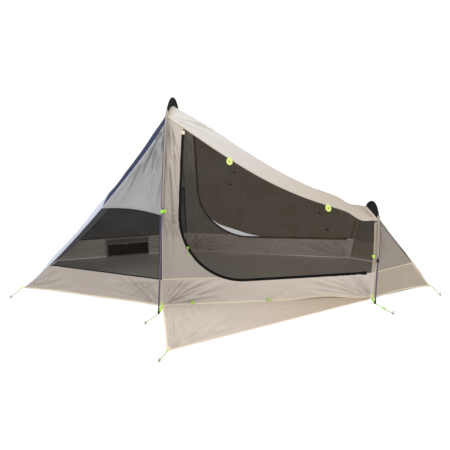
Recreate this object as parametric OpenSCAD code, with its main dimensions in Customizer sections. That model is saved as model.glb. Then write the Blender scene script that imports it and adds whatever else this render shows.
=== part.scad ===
// A-frame tent with two hooped poles, mesh doors, porch flaps, guy cords and pegs.
// +X runs from the head end to the foot end, -Y is the near side, +Z is up, z = 0 is the ground.
// The near side is built first. The far side is its mirror image in the plane y = 0.

/* [Frames] */
// Tall frame's place along the tent
tall_x = -360; // [-450:5:-250]
// Tall frame's half width at the ground
tall_foot_y = 805; // [700:5:900]
// Tall frame's height at the pole's centre line
tall_apex = 1204; // [1000:1:1400]
// Slope of the tall frame's straight legs
tall_slope = 67; // [60:1:75]
// Short frame's place along the tent at the ground
short_x = 905; // [800:5:1000]
// Short frame's half width at the ground
short_foot_y = 585; // [500:5:700]
// Short frame's length from the ground to its top, along its own plane
short_apex = 517; // [400:1:650]
// Slope of the short frame's straight legs
short_slope = 58; // [50:1:65]
// Lean of the short frame towards the foot end
short_lean = 8; // [0:0.5:12]
// Pole tube outside diameter
pole_d = 9.5; // [8:0.1:12]
// Pole tube wall
pole_wall = 0.7; // [0.5:0.1:1.2]

/* [Canopy] */
// Head end of the floor
head_x = -1320; // [-1450:5:-1200]
// Foot end of the floor
foot_x = 1320; // [1200:5:1450]
// Half width of the canopy at the head end
head_y = 346; // [250:1:450]
// Half width of the canopy at the tall frame, at the ground
tall_base_y = 675; // [600:5:750]
// Half width of the canopy at the short frame, at the ground
short_base_y = 488; // [400:1:560]
// Half width of the canopy at the foot end
foot_y = 213; // [150:1:300]
// Height of the roof seam at the tall frame
tall_seam_z = 1092; // [950:1:1200]
// Height of the roof seam at the short frame
short_seam_z = 440; // [350:1:550]
// Height of the skirt seam
skirt_z = 158; // [100:1:220]
// Height of the head window's upper seam
window_z = 530; // [400:5:650]
// Thickness of a cloth panel
cloth = 2; // [1:0.5:4]
// Gap left at a seam between two panels
seam_gap = 3; // [2:0.5:6]

/* [Doors] */
// Straight upright run of the zip, along the tent
zip_x = -259; // [-300:1:-200]
// Straight bottom run of the zip, above the ground
zip_z = 139; // [100:1:160]
// Corner radius of the zip
zip_r = 388; // [300:1:450]
// Top end of the zip
zip_top_z = 976; // [900:1:1000]
// Foot end of the zip
zip_end_x = 888; // [800:1:895]
// Width of the zip's chain and tapes
zip_w = 7; // [5:0.5:10]
// Where the slider stands on the corner, counted from +X
slider_at = 209; // [190:1:240]

/* [Cords] */
// Guy cord diameter
guy_d = 3; // [2:0.5:5]
// Peg wire diameter
peg_d = 5; // [4:0.5:8]
// Length of a hanging tie-back cord
tie_l = 150; // [100:5:200]
// Porch flap's outer corner along the tent
porch_tip_x = -231; // [-300:1:-150]
// Porch flap's outer corner from the middle
porch_tip_y = 1329; // [1200:1:1450]

/* [Hidden] */
$fn = 48;
beige = [0.76, 0.72, 0.67];
mesh_grey = [0.32, 0.29, 0.26];
black = [0.12, 0.12, 0.12];
lime = [0.55, 0.80, 0.22];
metal = [0.45, 0.44, 0.50];

// A frame is an arc between two straight legs that run into it with no kink.
function join_z(apex, foot, slope) =
    (apex / tan(slope / 2) - foot) / (1 / tan(slope / 2) - 1 / tan(slope));
function join_y(apex, foot, slope) = foot - join_z(apex, foot, slope) / tan(slope);
function arch_r(apex, foot, slope) = join_y(apex, foot, slope) / sin(slope);

tall_join_z = join_z(tall_apex, tall_foot_y, tall_slope);
tall_join_y = join_y(tall_apex, tall_foot_y, tall_slope);
tall_r = arch_r(tall_apex, tall_foot_y, tall_slope);
short_join_z = join_z(short_apex, short_foot_y, short_slope);
short_join_y = join_y(short_apex, short_foot_y, short_slope);
short_r = arch_r(short_apex, short_foot_y, short_slope);
tall_leg = tall_join_z / sin(tall_slope);
short_leg = short_join_z / sin(short_slope);

bore_d = pole_d - 2 * pole_wall;
fit_gap = 0.1;
plug_d = bore_d - fit_gap;
hole_d = 3.2;
shock_d = 2.4;
ferrule_l = 45;
arch_l = 5;
tip_l = 20;
tall_split = 512;
tall_clip_z = 560;
short_clip_z = 235;
sleeve_d = 13;

// ---- canopy surfaces: every point is [x, y, z] on the near side ----
knee_v = 0.52;
tall_knee_y = 550;
short_knee_y = 420;
tall_shoulder_y = 272;
short_shoulder_y = 240;
tall_bow = 20;
short_bow = 12;

function mix(a, b, t) = a + (b - a) * t;
function hump(t) = 4 * t * (1 - t);
function half_profile(v, base, knee, top, bow) =
    v < knee_v ? mix(base, knee, v / knee_v)
    : mix(knee, top, (v - knee_v) / (1 - knee_v)) + bow * hump((v - knee_v) / (1 - knee_v));
function tall_y(v) = half_profile(v, tall_base_y, tall_knee_y, tall_shoulder_y, tall_bow);
function short_y(v) = half_profile(v, short_base_y, short_knee_y, short_shoulder_y, short_bow);

// Side wall: u runs from the tall frame to the short one, v from the ground to the roof seam.
function seam_z(u) = mix(tall_seam_z, short_seam_z, u);
function lean_x(z) = short_x + z * tan(short_lean);
function wall(u, v) = [
    mix(tall_x, lean_x(v * seam_z(u)), u),
    -mix(tall_y(v), short_y(v), u),
    v * seam_z(u)
];
function wall_u(x, z) = (x - tall_x) / (lean_x(z) - tall_x);
function wall_at(x, z) = wall(wall_u(x, z), z / seam_z(wall_u(x, z)));

// Roof seam sags between the frames, and so does the ridge above it.
seam_sag = 0.12;
seam_dip = 0.052;
ridge_sag = 80;
ridge_rise_tall = 58;
ridge_rise_short = 24;
function seam_v(u) =
    1 - seam_sag * sin(180 * pow(u, 1.2)) - seam_dip * exp(-pow((u - 0.915) / 0.052, 2));
function roof_edge(u) = wall(u, seam_v(u));
function ridge_z(u) =
    mix(tall_seam_z + ridge_rise_tall, short_seam_z + ridge_rise_short, u)
    - ridge_sag * sin(180 * pow(u, 1.25));
function roof_at(u, k) = [
    roof_edge(u)[0],
    k * roof_edge(u)[1],
    mix(ridge_z(u), roof_edge(u)[2], k * k)
];

// Head end: the near edge of its end wall, and the crowned wall across it.
head_pull = 75;
function head_edge(z) = [
    head_x + (tall_x - head_x) * z / tall_seam_z + head_pull * pow(hump(z / tall_seam_z), 0.6),
    -(head_y - (head_y - tall_shoulder_y) * pow(z / tall_seam_z, 2.2)),
    z
];
function tall_leg_at(z) = [tall_x, -tall_y(z / tall_seam_z), z];
function head_crown(z) = mix(45, 100, z / tall_seam_z) * min(1, z / 110);
function head_wall_at(z, k) = [
    head_edge(z)[0], k * head_edge(z)[1], z + head_crown(z) * (1 - k * k)
];

// Foot end: the same two shapes, lower.
function foot_edge(z) = [
    mix(foot_x, lean_x(short_seam_z), z / short_seam_z),
    -mix(foot_y, short_shoulder_y, z / short_seam_z),
    z
];
function short_leg_at(z) = [lean_x(z), -short_y(z / short_seam_z), z];
function foot_wall_at(z, k) = [
    foot_edge(z)[0], k * foot_edge(z)[1], z + 22 * min(1, z / 40) * (1 - k * k)
];

// Zip: down, round the corner, then along the bottom to its foot end.
zip_cx = zip_x + zip_r;
zip_cz = zip_z + zip_r;
function zip_xz(t, off) =
    t < 0 ? [zip_x + off, mix(zip_cz, zip_top_z, -t)]
    : t <= 1 ? [zip_cx + (zip_r - off) * cos(180 + 90 * t), zip_cz + (zip_r - off) * sin(180 + 90 * t)]
    : [mix(zip_cx, zip_end_x, t - 1), zip_z + off];
function zip_at(t, off = 0) = wall_at(zip_xz(t, off)[0], zip_xz(t, off)[1]);
function zip_low_z(x) =
    x > zip_cx ? zip_z
    : zip_cz - sqrt(max(0, zip_r * zip_r - (x - zip_cx) * (x - zip_cx)));
hinge_a = zip_at(-1);
hinge_b = zip_at(2);
function hinge_line(s) = mix(hinge_a, hinge_b, s);

// ---- generic solids ----
// A closed sheet over rows of points, thickened by the vector t.
module sheet(rows, t) {
    n = len(rows);
    m = len(rows[0]);
    front = [for (r = rows) for (p = r) p];
    back = [for (r = rows) for (p = r) p + t];
    o = n * m;
    faces = concat(
        [for (i = [0 : n - 2], j = [0 : m - 2]) [i * m + j, (i + 1) * m + j, (i + 1) * m + j + 1]],
        [for (i = [0 : n - 2], j = [0 : m - 2]) [i * m + j, (i + 1) * m + j + 1, i * m + j + 1]],
        [for (i = [0 : n - 2], j = [0 : m - 2])
            [o + i * m + j, o + (i + 1) * m + j + 1, o + (i + 1) * m + j]],
        [for (i = [0 : n - 2], j = [0 : m - 2])
            [o + i * m + j, o + i * m + j + 1, o + (i + 1) * m + j + 1]],
        [for (i = [0 : n - 2]) [i * m, o + i * m, o + (i + 1) * m]],
        [for (i = [0 : n - 2]) [i * m, o + (i + 1) * m, (i + 1) * m]],
        [for (i = [0 : n - 2]) [i * m + m - 1, o + (i + 1) * m + m - 1, o + i * m + m - 1]],
        [for (i = [0 : n - 2]) [i * m + m - 1, (i + 1) * m + m - 1, o + (i + 1) * m + m - 1]],
        [for (j = [0 : m - 2]) [j, o + j + 1, o + j]],
        [for (j = [0 : m - 2]) [j, j + 1, o + j + 1]],
        [for (j = [0 : m - 2]) [(n - 1) * m + j, o + (n - 1) * m + j, o + (n - 1) * m + j + 1]],
        [for (j = [0 : m - 2]) [(n - 1) * m + j, o + (n - 1) * m + j + 1, (n - 1) * m + j + 1]]
    );
    polyhedron(points = concat(front, back), faces = faces, convexity = 4);
}

// A ruled panel between two lists of points of one length.
module ruled(a, b, t, cuts = 3) {
    sheet([for (i = [0 : len(a) - 1]) [for (j = [0 : cuts]) mix(a[i], b[i], j / cuts)]], t);
}

// A straight round bar between two points.
module bar(a, b, d) {
    v = b - a;
    l = norm(v);
    translate(a)
        rotate([0, acos(v[2] / l), atan2(v[1], v[0])])
            cylinder(h = l, d = d, $fn = 24);
}

module both_sides() {
    children();
    mirror([0, 1, 0]) children();
}

module at_short_frame() {
    translate([short_x, 0, 0]) rotate([0, short_lean, 0]) children();
}

// Stands a child that is drawn along +Z on a near leg, with its origin at the ground.
module on_leg(foot, slope) {
    translate([0, -foot, 0]) rotate([slope - 90, 0, 0]) children();
}

module tube(l, d = pole_d, bore = bore_d) {
    difference() {
        cylinder(h = l, d = d);
        translate([0, 0, -1]) cylinder(h = l + 2, d = bore);
    }
}

// Ring segment in the frame's plane, spread evenly to both sides of its top.
module arch_ring(r, top_z, half_angle, d, bore) {
    translate([0, 0, top_z - r])
        rotate([90, 0, 90])
            rotate([0, 0, 90 - half_angle])
                rotate_extrude(angle = 2 * half_angle, $fn = 144)
                    translate([r, 0]) difference() {
                        circle(d = d, $fn = 32);
                        circle(d = bore, $fn = 32);
                    }
}

// ---- poles ----
module tall_arch() {
    color(metal) translate([tall_x, 0, 0])
        arch_ring(tall_r, tall_apex, tall_slope, pole_d, bore_d);
}

module tall_upper_near() {
    color(metal) translate([tall_x, 0, 0]) on_leg(tall_foot_y, tall_slope)
        translate([0, 0, tall_split]) tube(tall_leg - tall_split - fit_gap);
}

module tall_upper_far() {
    mirror([0, 1, 0]) tall_upper_near();
}

module tall_lower_near() {
    color(metal) translate([tall_x, 0, 0]) on_leg(tall_foot_y, tall_slope)
        translate([0, 0, tip_l]) tube(tall_split - tip_l - fit_gap);
}

module tall_lower_far() {
    mirror([0, 1, 0]) tall_lower_near();
}

module short_arch() {
    color(metal) at_short_frame()
        arch_ring(short_r, short_apex, short_slope, pole_d, bore_d);
}

module short_leg_near() {
    color(metal) at_short_frame() on_leg(short_foot_y, short_slope)
        translate([0, 0, tip_l]) tube(short_leg - tip_l - fit_gap);
}

module short_leg_far() {
    mirror([0, 1, 0]) short_leg_near();
}

// Hollow ferrule rod from below a joint between two tubes to above it.
module ferrule_at(joint, below, above) {
    translate([0, 0, joint - below]) tube(below + above, plug_d, hole_d);
}

module ferrules() {
    color(metal) both_sides() {
        translate([tall_x, 0, 0]) on_leg(tall_foot_y, tall_slope) {
            ferrule_at(tall_leg, ferrule_l, arch_l);
            ferrule_at(tall_split, ferrule_l, ferrule_l);
        }
        at_short_frame() on_leg(short_foot_y, short_slope)
            ferrule_at(short_leg, ferrule_l, arch_l);
    }
}

module pole_tip(slope) {
    nose = 5.75;
    plug_l = 26;
    difference() {
        union() {
            translate([0, 0, nose / sin(slope)]) sphere(r = nose, $fn = 32);
            translate([0, 0, nose / sin(slope)])
                cylinder(h = tip_l - nose / sin(slope) - fit_gap, r = nose);
            translate([0, 0, tip_l - 1]) cylinder(h = plug_l, d = plug_d);
        }
        translate([0, 0, tip_l]) cylinder(h = plug_l, d = hole_d);
    }
}

module pole_tips() {
    color(black) both_sides() {
        translate([tall_x, 0, 0]) on_leg(tall_foot_y, tall_slope) pole_tip(tall_slope);
        at_short_frame() on_leg(short_foot_y, short_slope) pole_tip(short_slope);
    }
}

// Round cord along a path of [y, z] points in the plane x = 0.
module planar_cord(path, d) {
    sides = 8;
    n = len(path);
    rings = [for (i = [0 : n - 1])
        let (
            step = path[min(i + 1, n - 1)] - path[max(i - 1, 0)],
            normal = [-step[1], step[0]] / norm(step)
        )
        for (k = [0 : sides - 1])
            let (a = 360 * k / sides)
            [
                d / 2 * sin(a),
                path[i][0] + d / 2 * cos(a) * normal[0],
                path[i][1] + d / 2 * cos(a) * normal[1]
            ]];
    walls = [for (i = [0 : n - 2], k = [0 : sides - 1])
        let (a = i * sides + k, b = i * sides + (k + 1) % sides)
        [a, b, b + sides, a + sides]];
    polyhedron(
        points = rings,
        faces = concat(
            walls,
            [[for (k = [sides - 1 : -1 : 0]) k]],
            [[for (k = [0 : sides - 1]) (n - 1) * sides + k]]),
        convexity = 4);
}

// Path of a frame's shock cord: up one leg, round the arch and down the other leg.
function half_path(r, apex, slope, foot) = concat(
    [for (t = [tip_l + 4, tip_l + 200]) [foot - t * cos(slope), t * sin(slope)]],
    [for (i = [0 : 9])
        let (a = slope * (1 - i / 9.5))
        [r * sin(a), apex - r + r * cos(a)]]
);
function mirrored(path) = [for (i = [len(path) - 1 : -1 : 0]) [-path[i][0], path[i][1]]];
function frame_path(r, apex, slope, foot) =
    concat(half_path(r, apex, slope, foot), mirrored(half_path(r, apex, slope, foot)));

module shock_cords() {
    color(lime) {
        translate([tall_x, 0, 0])
            planar_cord(frame_path(tall_r, tall_apex, tall_slope, tall_foot_y), shock_d);
        at_short_frame()
            planar_cord(frame_path(short_r, short_apex, short_slope, short_foot_y), shock_d);
    }
}

// Web of cloth between the pole and the roof, in the frame's own plane.
module arch_web(r, apex, reach, roof_z, edge_z, edge_y) {
    steps = 20;
    gap = 1.5;
    inner = r - pole_d / 2 - gap;
    rise = 4;
    outer_pts = [for (i = [-steps : steps])
        [inner * sin(reach * i / steps), apex - r + inner * cos(reach * i / steps)]];
    half_w = inner * sin(reach);
    lower_pts = [for (i = [steps : -1 : -steps])
        let (y = half_w * i / steps)
        [y, min(
            apex - r + inner * cos(reach * i / steps) - 1,
            roof_z + rise - (roof_z - edge_z) * pow(y / edge_y, 2))]];
    rotate([90, 0, 90]) translate([0, 0, -1.5])
        linear_extrude(height = 3) polygon(concat(outer_pts, lower_pts));
}

module tall_arch_cap() {
    color(black) translate([tall_x, 0, 0]) arch_web(
        tall_r, tall_apex, 34, tall_seam_z + ridge_rise_tall, tall_seam_z, tall_shoulder_y);
}

module short_arch_cap() {
    color(black) at_short_frame() arch_web(
        short_r, short_apex, 27,
        (short_seam_z + ridge_rise_short) / cos(short_lean),
        short_seam_z / cos(short_lean), short_shoulder_y);
}

// Cloth sleeves that hold the canopy to the legs above the clips.
module leg_sleeves() {
    sleeve_bore = pole_d + 1;
    tall_start = (tall_clip_z + 16) / sin(tall_slope);
    short_start = (short_clip_z + 14) / sin(short_slope) / cos(short_lean);
    color(beige) both_sides() {
        translate([tall_x, 0, 0]) on_leg(tall_foot_y, tall_slope)
            translate([0, 0, tall_start]) tube(tall_leg - tall_start, sleeve_d, sleeve_bore);
        at_short_frame() on_leg(short_foot_y, short_slope)
            translate([0, 0, short_start])
                tube(short_leg - short_start, sleeve_d, sleeve_bore);
    }
}

// Clip: a collar round the pole with a tongue towards the canopy.
module leg_clip(at) {
    h = 20;
    d = 18;
    reach = 6.8;
    translate([0, 0, at]) {
        tube(h, d, pole_d + 0.6);
        translate([-5, d / 2 - 1, 2]) cube([10, reach, h - 8]);
    }
}

module leg_clips() {
    color(lime) both_sides() {
        translate([tall_x, 0, 0]) on_leg(tall_foot_y, tall_slope)
            leg_clip(tall_clip_z / sin(tall_slope) - 12);
        at_short_frame() on_leg(short_foot_y, short_slope)
            leg_clip(short_clip_z / sin(short_slope) / cos(short_lean) - 12);
    }
}

// Webbing tab from each base corner of the canopy to the foot of its pole.
module foot_tabs() {
    w = 16;
    tab_z = 2;
    tip_gap = 11;
    color(lime) both_sides() {
        translate([tall_x - w / 2, -(tall_foot_y - tip_gap), tab_z])
            cube([w, tall_foot_y - tall_base_y - tip_gap - 6, 2]);
        translate([short_x - w / 2, -(short_foot_y - tip_gap), tab_z])
            cube([w, short_foot_y - short_base_y - tip_gap - 6, 2]);
    }
}

// ---- canopy ----
out_y = [0, -cloth, 0];
up_z = [0, 0, cloth];
inset_u = 0.006;

module roof_panel() {
    nu = 14;
    nk = 6;
    color(beige) sheet(
        [for (i = [0 : nu])
            [for (j = [-nk : nk]) roof_at(mix(0.004, 0.992, i / nu), -j / nk * 0.985)]],
        up_z);
}

// Stile: between the leg and the upright run of the zip, from the skirt to the roof seam.
stile_end_t = 0.77;
zip_gap = 2;
module stile_near() {
    round_steps = 14;
    upright_steps = 5;
    top_steps = 3;
    zip_t = concat(
        [for (i = [0 : round_steps]) stile_end_t * (1 - i / round_steps)],
        [for (i = [1 : upright_steps]) -i / upright_steps]);
    by_zip = [for (t = zip_t) zip_at(t, -zip_w / 2 - zip_gap)];
    zip_top = by_zip[len(by_zip) - 1];
    seam = [0, 0, seam_gap];
    zip_seam = roof_edge(wall_u(zip_top[0], zip_top_z)) - seam;
    inner = concat(by_zip, [for (i = [1 : top_steps]) mix(zip_top, zip_seam, i / top_steps)]);
    leg = concat(
        [for (p = by_zip) wall(inset_u, p[2] / seam_z(inset_u))],
        [for (i = [1 : top_steps])
            mix(wall(inset_u, zip_top[2] / seam_z(inset_u)), roof_edge(inset_u) - seam, i / top_steps)]);
    color(beige) ruled(leg, inner, out_y);
}

module stile_far() {
    mirror([0, 1, 0]) stile_near();
}

door_steps = 18;
door_edge = zip_w / 2 + zip_gap;

module door_flap_near() {
    low = [for (i = [0 : door_steps]) zip_at(mix(-0.985, 1.985, i / door_steps), door_edge)];
    high = [for (i = [0 : door_steps])
        hinge_line(mix(0.02, 0.98, i / door_steps)) - [0, 0, seam_gap]];
    color(mesh_grey) ruled(high, low, out_y);
}

module door_flap_far() {
    mirror([0, 1, 0]) door_flap_near();
}

stile_u = 0.978;

module door_mesh_near() {
    n = 14;
    low = [for (i = [0 : n]) hinge_line(i / n) + [0, 0, seam_gap]];
    high = [for (i = [0 : n]) roof_edge(mix(0.078, stile_u, i / n)) - [0, 0, seam_gap]];
    color(mesh_grey) ruled(low, high, out_y);
}

module door_mesh_far() {
    mirror([0, 1, 0]) door_mesh_near();
}

// Narrow stile between the door mesh and the short frame's leg.
module short_stile_near() {
    n = 6;
    vs = [for (i = [0 : n]) mix((skirt_z + seam_gap) / short_seam_z, 0.955, i / n)];
    color(beige) ruled(
        [for (v = vs) wall(stile_u + 0.004, v)],
        [for (v = vs) wall(1 - inset_u, v)], out_y, 1);
}

module short_stile_far() {
    mirror([0, 1, 0]) short_stile_near();
}

// Base strip of the canopy in three lengths: head, middle and foot.
module skirt_near() {
    n = 10;
    mid = 26;
    color(beige) {
        ruled(
            [for (i = [0 : n]) mix([head_x + 2, -head_y, 0], [tall_x - 3, -tall_base_y, 0], i / n)],
            [for (i = [0 : n]) mix(head_edge(skirt_z) + [3, 0, 0], tall_leg_at(skirt_z) - [3, 0, 0], i / n)],
            out_y);
        ruled(
            [for (i = [0 : mid]) wall(mix(inset_u, 1 - inset_u, i / mid), 0)],
            [for (i = [0 : mid])
                let (x = mix(tall_x + 8, lean_x(skirt_z) - 8, i / mid))
                wall_at(x, min(skirt_z, zip_low_z(x) - zip_w / 2 - 1.5 * zip_gap))],
            out_y);
        ruled(
            [for (i = [0 : n]) mix([short_x + 4, -short_base_y, 0], [foot_x - 2, -foot_y, 0], i / n)],
            [for (i = [0 : n]) mix(short_leg_at(skirt_z) + [4, 0, 0], foot_edge(skirt_z) - [3, 0, 0], i / n)],
            out_y);
    }
}

module skirt_far() {
    mirror([0, 1, 0]) skirt_near();
}

module head_window_near() {
    n = 6;
    zs = [for (i = [0 : n]) mix(skirt_z + seam_gap, window_z, i / n)];
    color(mesh_grey) ruled(
        [for (z = zs) head_edge(z) + [4, 0, 0]],
        [for (z = zs) tall_leg_at(z) - [4, 0, 0]], out_y);
}

module head_window_far() {
    mirror([0, 1, 0]) head_window_near();
}

module head_panel_near() {
    n = 8;
    zs = [for (i = [0 : n]) mix(window_z + seam_gap, tall_seam_z * 0.955, i / n)];
    color(beige) ruled(
        [for (z = zs) head_edge(z) + [4, 0, 0]],
        [for (z = zs) tall_leg_at(z) - [4, 0, 0]], out_y);
}

module head_panel_far() {
    mirror([0, 1, 0]) head_panel_near();
}

module head_wall(z0, z1, n) {
    nk = 5;
    sheet([for (i = [0 : n]) [for (j = [-nk : nk]) head_wall_at(mix(z0, z1, i / n), -j / nk)]],
        [-cloth, 0, 0]);
}

module head_wall_lower() {
    color(beige) head_wall(0, window_z - seam_gap, 6);
}

module head_wall_upper() {
    color(mesh_grey) head_wall(window_z + seam_gap, tall_seam_z * 0.965, 7);
}

module foot_panel_near() {
    n = 4;
    zs = [for (i = [0 : n]) mix(skirt_z + seam_gap, short_seam_z * 0.96, i / n)];
    color(beige) ruled(
        [for (z = zs) short_leg_at(z) + [4, 0, 0]],
        [for (z = zs) foot_edge(z) - [4, 0, 0]], out_y);
}

module foot_panel_far() {
    mirror([0, 1, 0]) foot_panel_near();
}

module foot_wall(z0, z1, n) {
    nk = 3;
    sheet([for (i = [0 : n]) [for (j = [-nk : nk]) foot_wall_at(mix(z0, z1, i / n), j / nk)]],
        [cloth, 0, 0]);
}

module foot_wall_lower() {
    color(beige) foot_wall(0, skirt_z, 4);
}

module foot_wall_upper() {
    color(mesh_grey) foot_wall(skirt_z + seam_gap, short_seam_z * 0.975, 5);
}

// Floor sheet, which the tent rests on.
module floor_sheet() {
    back = 14;
    side = [
        [head_x + back, head_y - back],
        [tall_x, tall_base_y - back],
        [short_x, short_base_y - back],
        [foot_x - back, foot_y - back]
    ];
    color(mesh_grey) linear_extrude(height = cloth)
        polygon(concat([for (p = side) [p[0], -p[1]]], [for (i = [3 : -1 : 0]) side[i]]));
}

// Porch flap, laid out on the ground from the side's base line.
module porch_near() {
    gap = 9;
    color(beige) linear_extrude(height = cloth) polygon([
        [tall_x + 16, -tall_base_y - gap],
        [porch_tip_x, -porch_tip_y],
        [short_x - 22, -short_base_y - gap - 3]
    ]);
}

module porch_far() {
    mirror([0, 1, 0]) porch_near();
}

// Flat pocket inside the far side, under the head window.
module wall_pocket() {
    color(mesh_grey) translate([-949, 396, 12]) rotate([0, 0, 20]) cube([332, 3, 144]);
}

// ---- zips ----
module zip_near() {
    steps = 60;
    color(black) ruled(
        [for (i = [0 : steps]) zip_at(mix(-1, 2, i / steps), -zip_w / 2)],
        [for (i = [0 : steps]) zip_at(mix(-1, 2, i / steps), zip_w / 2)],
        out_y, 1);
}

module zip_far() {
    mirror([0, 1, 0]) zip_near();
}

slider_t = (slider_at - 180) / 90;
slider_pos = zip_at(slider_t);
wall_turn = 8;
wall_tilt = 12;

// Turns a child so that its XZ plane lies on the wall beside the zip's corner.
module on_wall(p) {
    translate(p) rotate([0, 0, wall_turn]) rotate([-wall_tilt, 0, 0]) children();
}

module zip_slider_near() {
    w = 6;
    h = 13;
    color(lime) on_wall(slider_pos)
        rotate([0, 270 - slider_at, 0]) translate([-h / 2, -cloth - 5.5, -w / 2]) cube([h, 4.5, w]);
}

module zip_slider_far() {
    mirror([0, 1, 0]) zip_slider_near();
}

pull_l = 40;

module zip_pull_near() {
    color(lime) on_wall(slider_pos) translate([0, -cloth - 9, 0]) {
        translate([0, 0, -pull_l]) cylinder(h = pull_l, d = 3);
        translate([0, 0, -pull_l - 8]) cylinder(h = 12, d = 5);
    }
}

module zip_pull_far() {
    mirror([0, 1, 0]) zip_pull_near();
}

// ---- tie-backs under the roof seam ----
tie_tall_u = 0.28;
tie_short_u = 0.745;
loop_d = 30;

function unit(v) = v / norm(v);
function wall_down(u) = unit(wall(u, seam_v(u) - 0.03) - roof_edge(u));
function wall_along(u) = unit(roof_edge(u + 0.01) - roof_edge(u - 0.01));
function wall_out(u) = unit(cross(wall_down(u), wall_along(u)));

module tie_loop(u) {
    down = wall_down(u);
    out = wall_out(u);
    side = cross(out, down);
    at = roof_edge(u) + (loop_d / 2 + 3) * down + 6 * out;
    multmatrix([
        [side[0], -out[0], -down[0], at[0]],
        [side[1], -out[1], -down[1], at[1]],
        [side[2], -out[2], -down[2], at[2]],
        [0, 0, 0, 1]
    ])
        rotate([90, 0, 0]) rotate_extrude($fn = 32)
            translate([loop_d / 2 - 2, 0]) circle(d = 3, $fn = 16);
}

module tieback_loops() {
    color(lime) both_sides() {
        tie_loop(tie_tall_u);
        tie_loop(tie_short_u);
    }
}

// Cord that hangs inside the door, with a short barrel across its end.
module tieback(u) {
    top = roof_edge(u) + [4, 26, -18];
    bar(top, top - [0, 0, tie_l], 3);
    bar(top - [9, 0, tie_l], top - [-9, 0, tie_l], 7);
}

module tieback_tall_near() {
    color(lime) tieback(tie_tall_u);
}

module tieback_tall_far() {
    mirror([0, 1, 0]) tieback_tall_near();
}

module tieback_short_near() {
    color(lime) tieback(tie_short_u);
}

module tieback_short_far() {
    mirror([0, 1, 0]) tieback_short_near();
}

// ---- guy cords and pegs: each cord runs from a canopy point to its peg ----
cord_z = 6;
head_guy = [[head_x - 6, -head_y - 6, cord_z], [head_x, -550, cord_z]];
foot_guy = [[foot_x + 6, -foot_y - 6, cord_z], [foot_x + 14, -402, cord_z]];
tall_guy = [[tall_x - 4, -tall_foot_y - 12, cord_z], [tall_x - 47, -962, cord_z]];
short_guy = [[short_x + 5, -short_foot_y - 12, cord_z], [short_x + 71, -754, cord_z]];
porch_guy = [[porch_tip_x - 1, -porch_tip_y - 3, cord_z], [porch_tip_x - 23, -1454, cord_z]];

module guy(ends) {
    bar(ends[0], ends[1], guy_d);
}

module corner_guys() {
    color(lime) both_sides() {
        guy(head_guy);
        guy(foot_guy);
    }
}

module pole_guys() {
    color(lime) both_sides() {
        guy(tall_guy);
        guy(short_guy);
    }
}

module porch_guy_near() {
    color(lime) guy(porch_guy);
}

module porch_guy_far() {
    mirror([0, 1, 0]) porch_guy_near();
}

// Peg head standing out of the ground just beyond its cord.
module peg(ends) {
    away = (ends[1] - ends[0]) / norm(ends[1] - ends[0]);
    translate([ends[1][0] + away[0] * 5, ends[1][1] + away[1] * 5, 0]) {
        cylinder(h = 20, d = peg_d);
        translate([0, 0, 16]) cylinder(h = 4, d = peg_d + 6);
    }
}

module ground_pegs() {
    color(metal) both_sides() {
        peg(head_guy);
        peg(foot_guy);
        peg(tall_guy);
        peg(short_guy);
        peg(porch_guy);
    }
}

// Line tensioner threaded on the short frame's guy cord.
module tensioner_near() {
    along = (short_guy[1] - short_guy[0]) / norm(short_guy[1] - short_guy[0]);
    color(lime) translate(short_guy[0] + along * 78)
        rotate([0, 0, atan2(along[1], along[0])]) difference() {
            translate([-13, -5, -4]) cube([26, 10, 8]);
            rotate([0, 90, 0]) translate([0, 0, -14]) cylinder(h = 28, d = guy_d + 1);
        }
}

module tensioner_far() {
    mirror([0, 1, 0]) tensioner_near();
}

// Barrel toggles along the lower hem, which button the porch flap to the canopy.
toggle_z = 22;
module hem_toggles() {
    color(lime) both_sides() for (u = [0.14, 0.5]) {
        translate(wall(u, toggle_z / seam_z(u)) + [0, -cloth - 5, 0])
            rotate([0, 90, wall_turn]) cylinder(h = 26, d = 7, center = true);
    }
}

roof_panel();
stile_near();
stile_far();
door_mesh_near();
door_mesh_far();
door_flap_near();
door_flap_far();
short_stile_near();
short_stile_far();
head_panel_near();
head_panel_far();
head_window_near();
head_window_far();
head_wall_upper();
head_wall_lower();
foot_panel_near();
foot_panel_far();
foot_wall_upper();
foot_wall_lower();
skirt_near();
skirt_far();
floor_sheet();
porch_near();
porch_far();
wall_pocket();
tall_arch();
tall_upper_near();
tall_upper_far();
tall_lower_near();
tall_lower_far();
short_arch();
short_leg_near();
short_leg_far();
ferrules();
pole_tips();
shock_cords();
tall_arch_cap();
short_arch_cap();
leg_sleeves();
leg_clips();
foot_tabs();
zip_near();
zip_far();
zip_slider_near();
zip_slider_far();
zip_pull_near();
zip_pull_far();
tieback_loops();
tieback_tall_near();
tieback_tall_far();
tieback_short_near();
tieback_short_far();
corner_guys();
pole_guys();
porch_guy_near();
porch_guy_far();
ground_pegs();
tensioner_near();
tensioner_far();
hem_toggles();
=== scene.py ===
import math
import bpy
import numpy as np
from mathutils import Euler, Matrix, Vector


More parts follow.
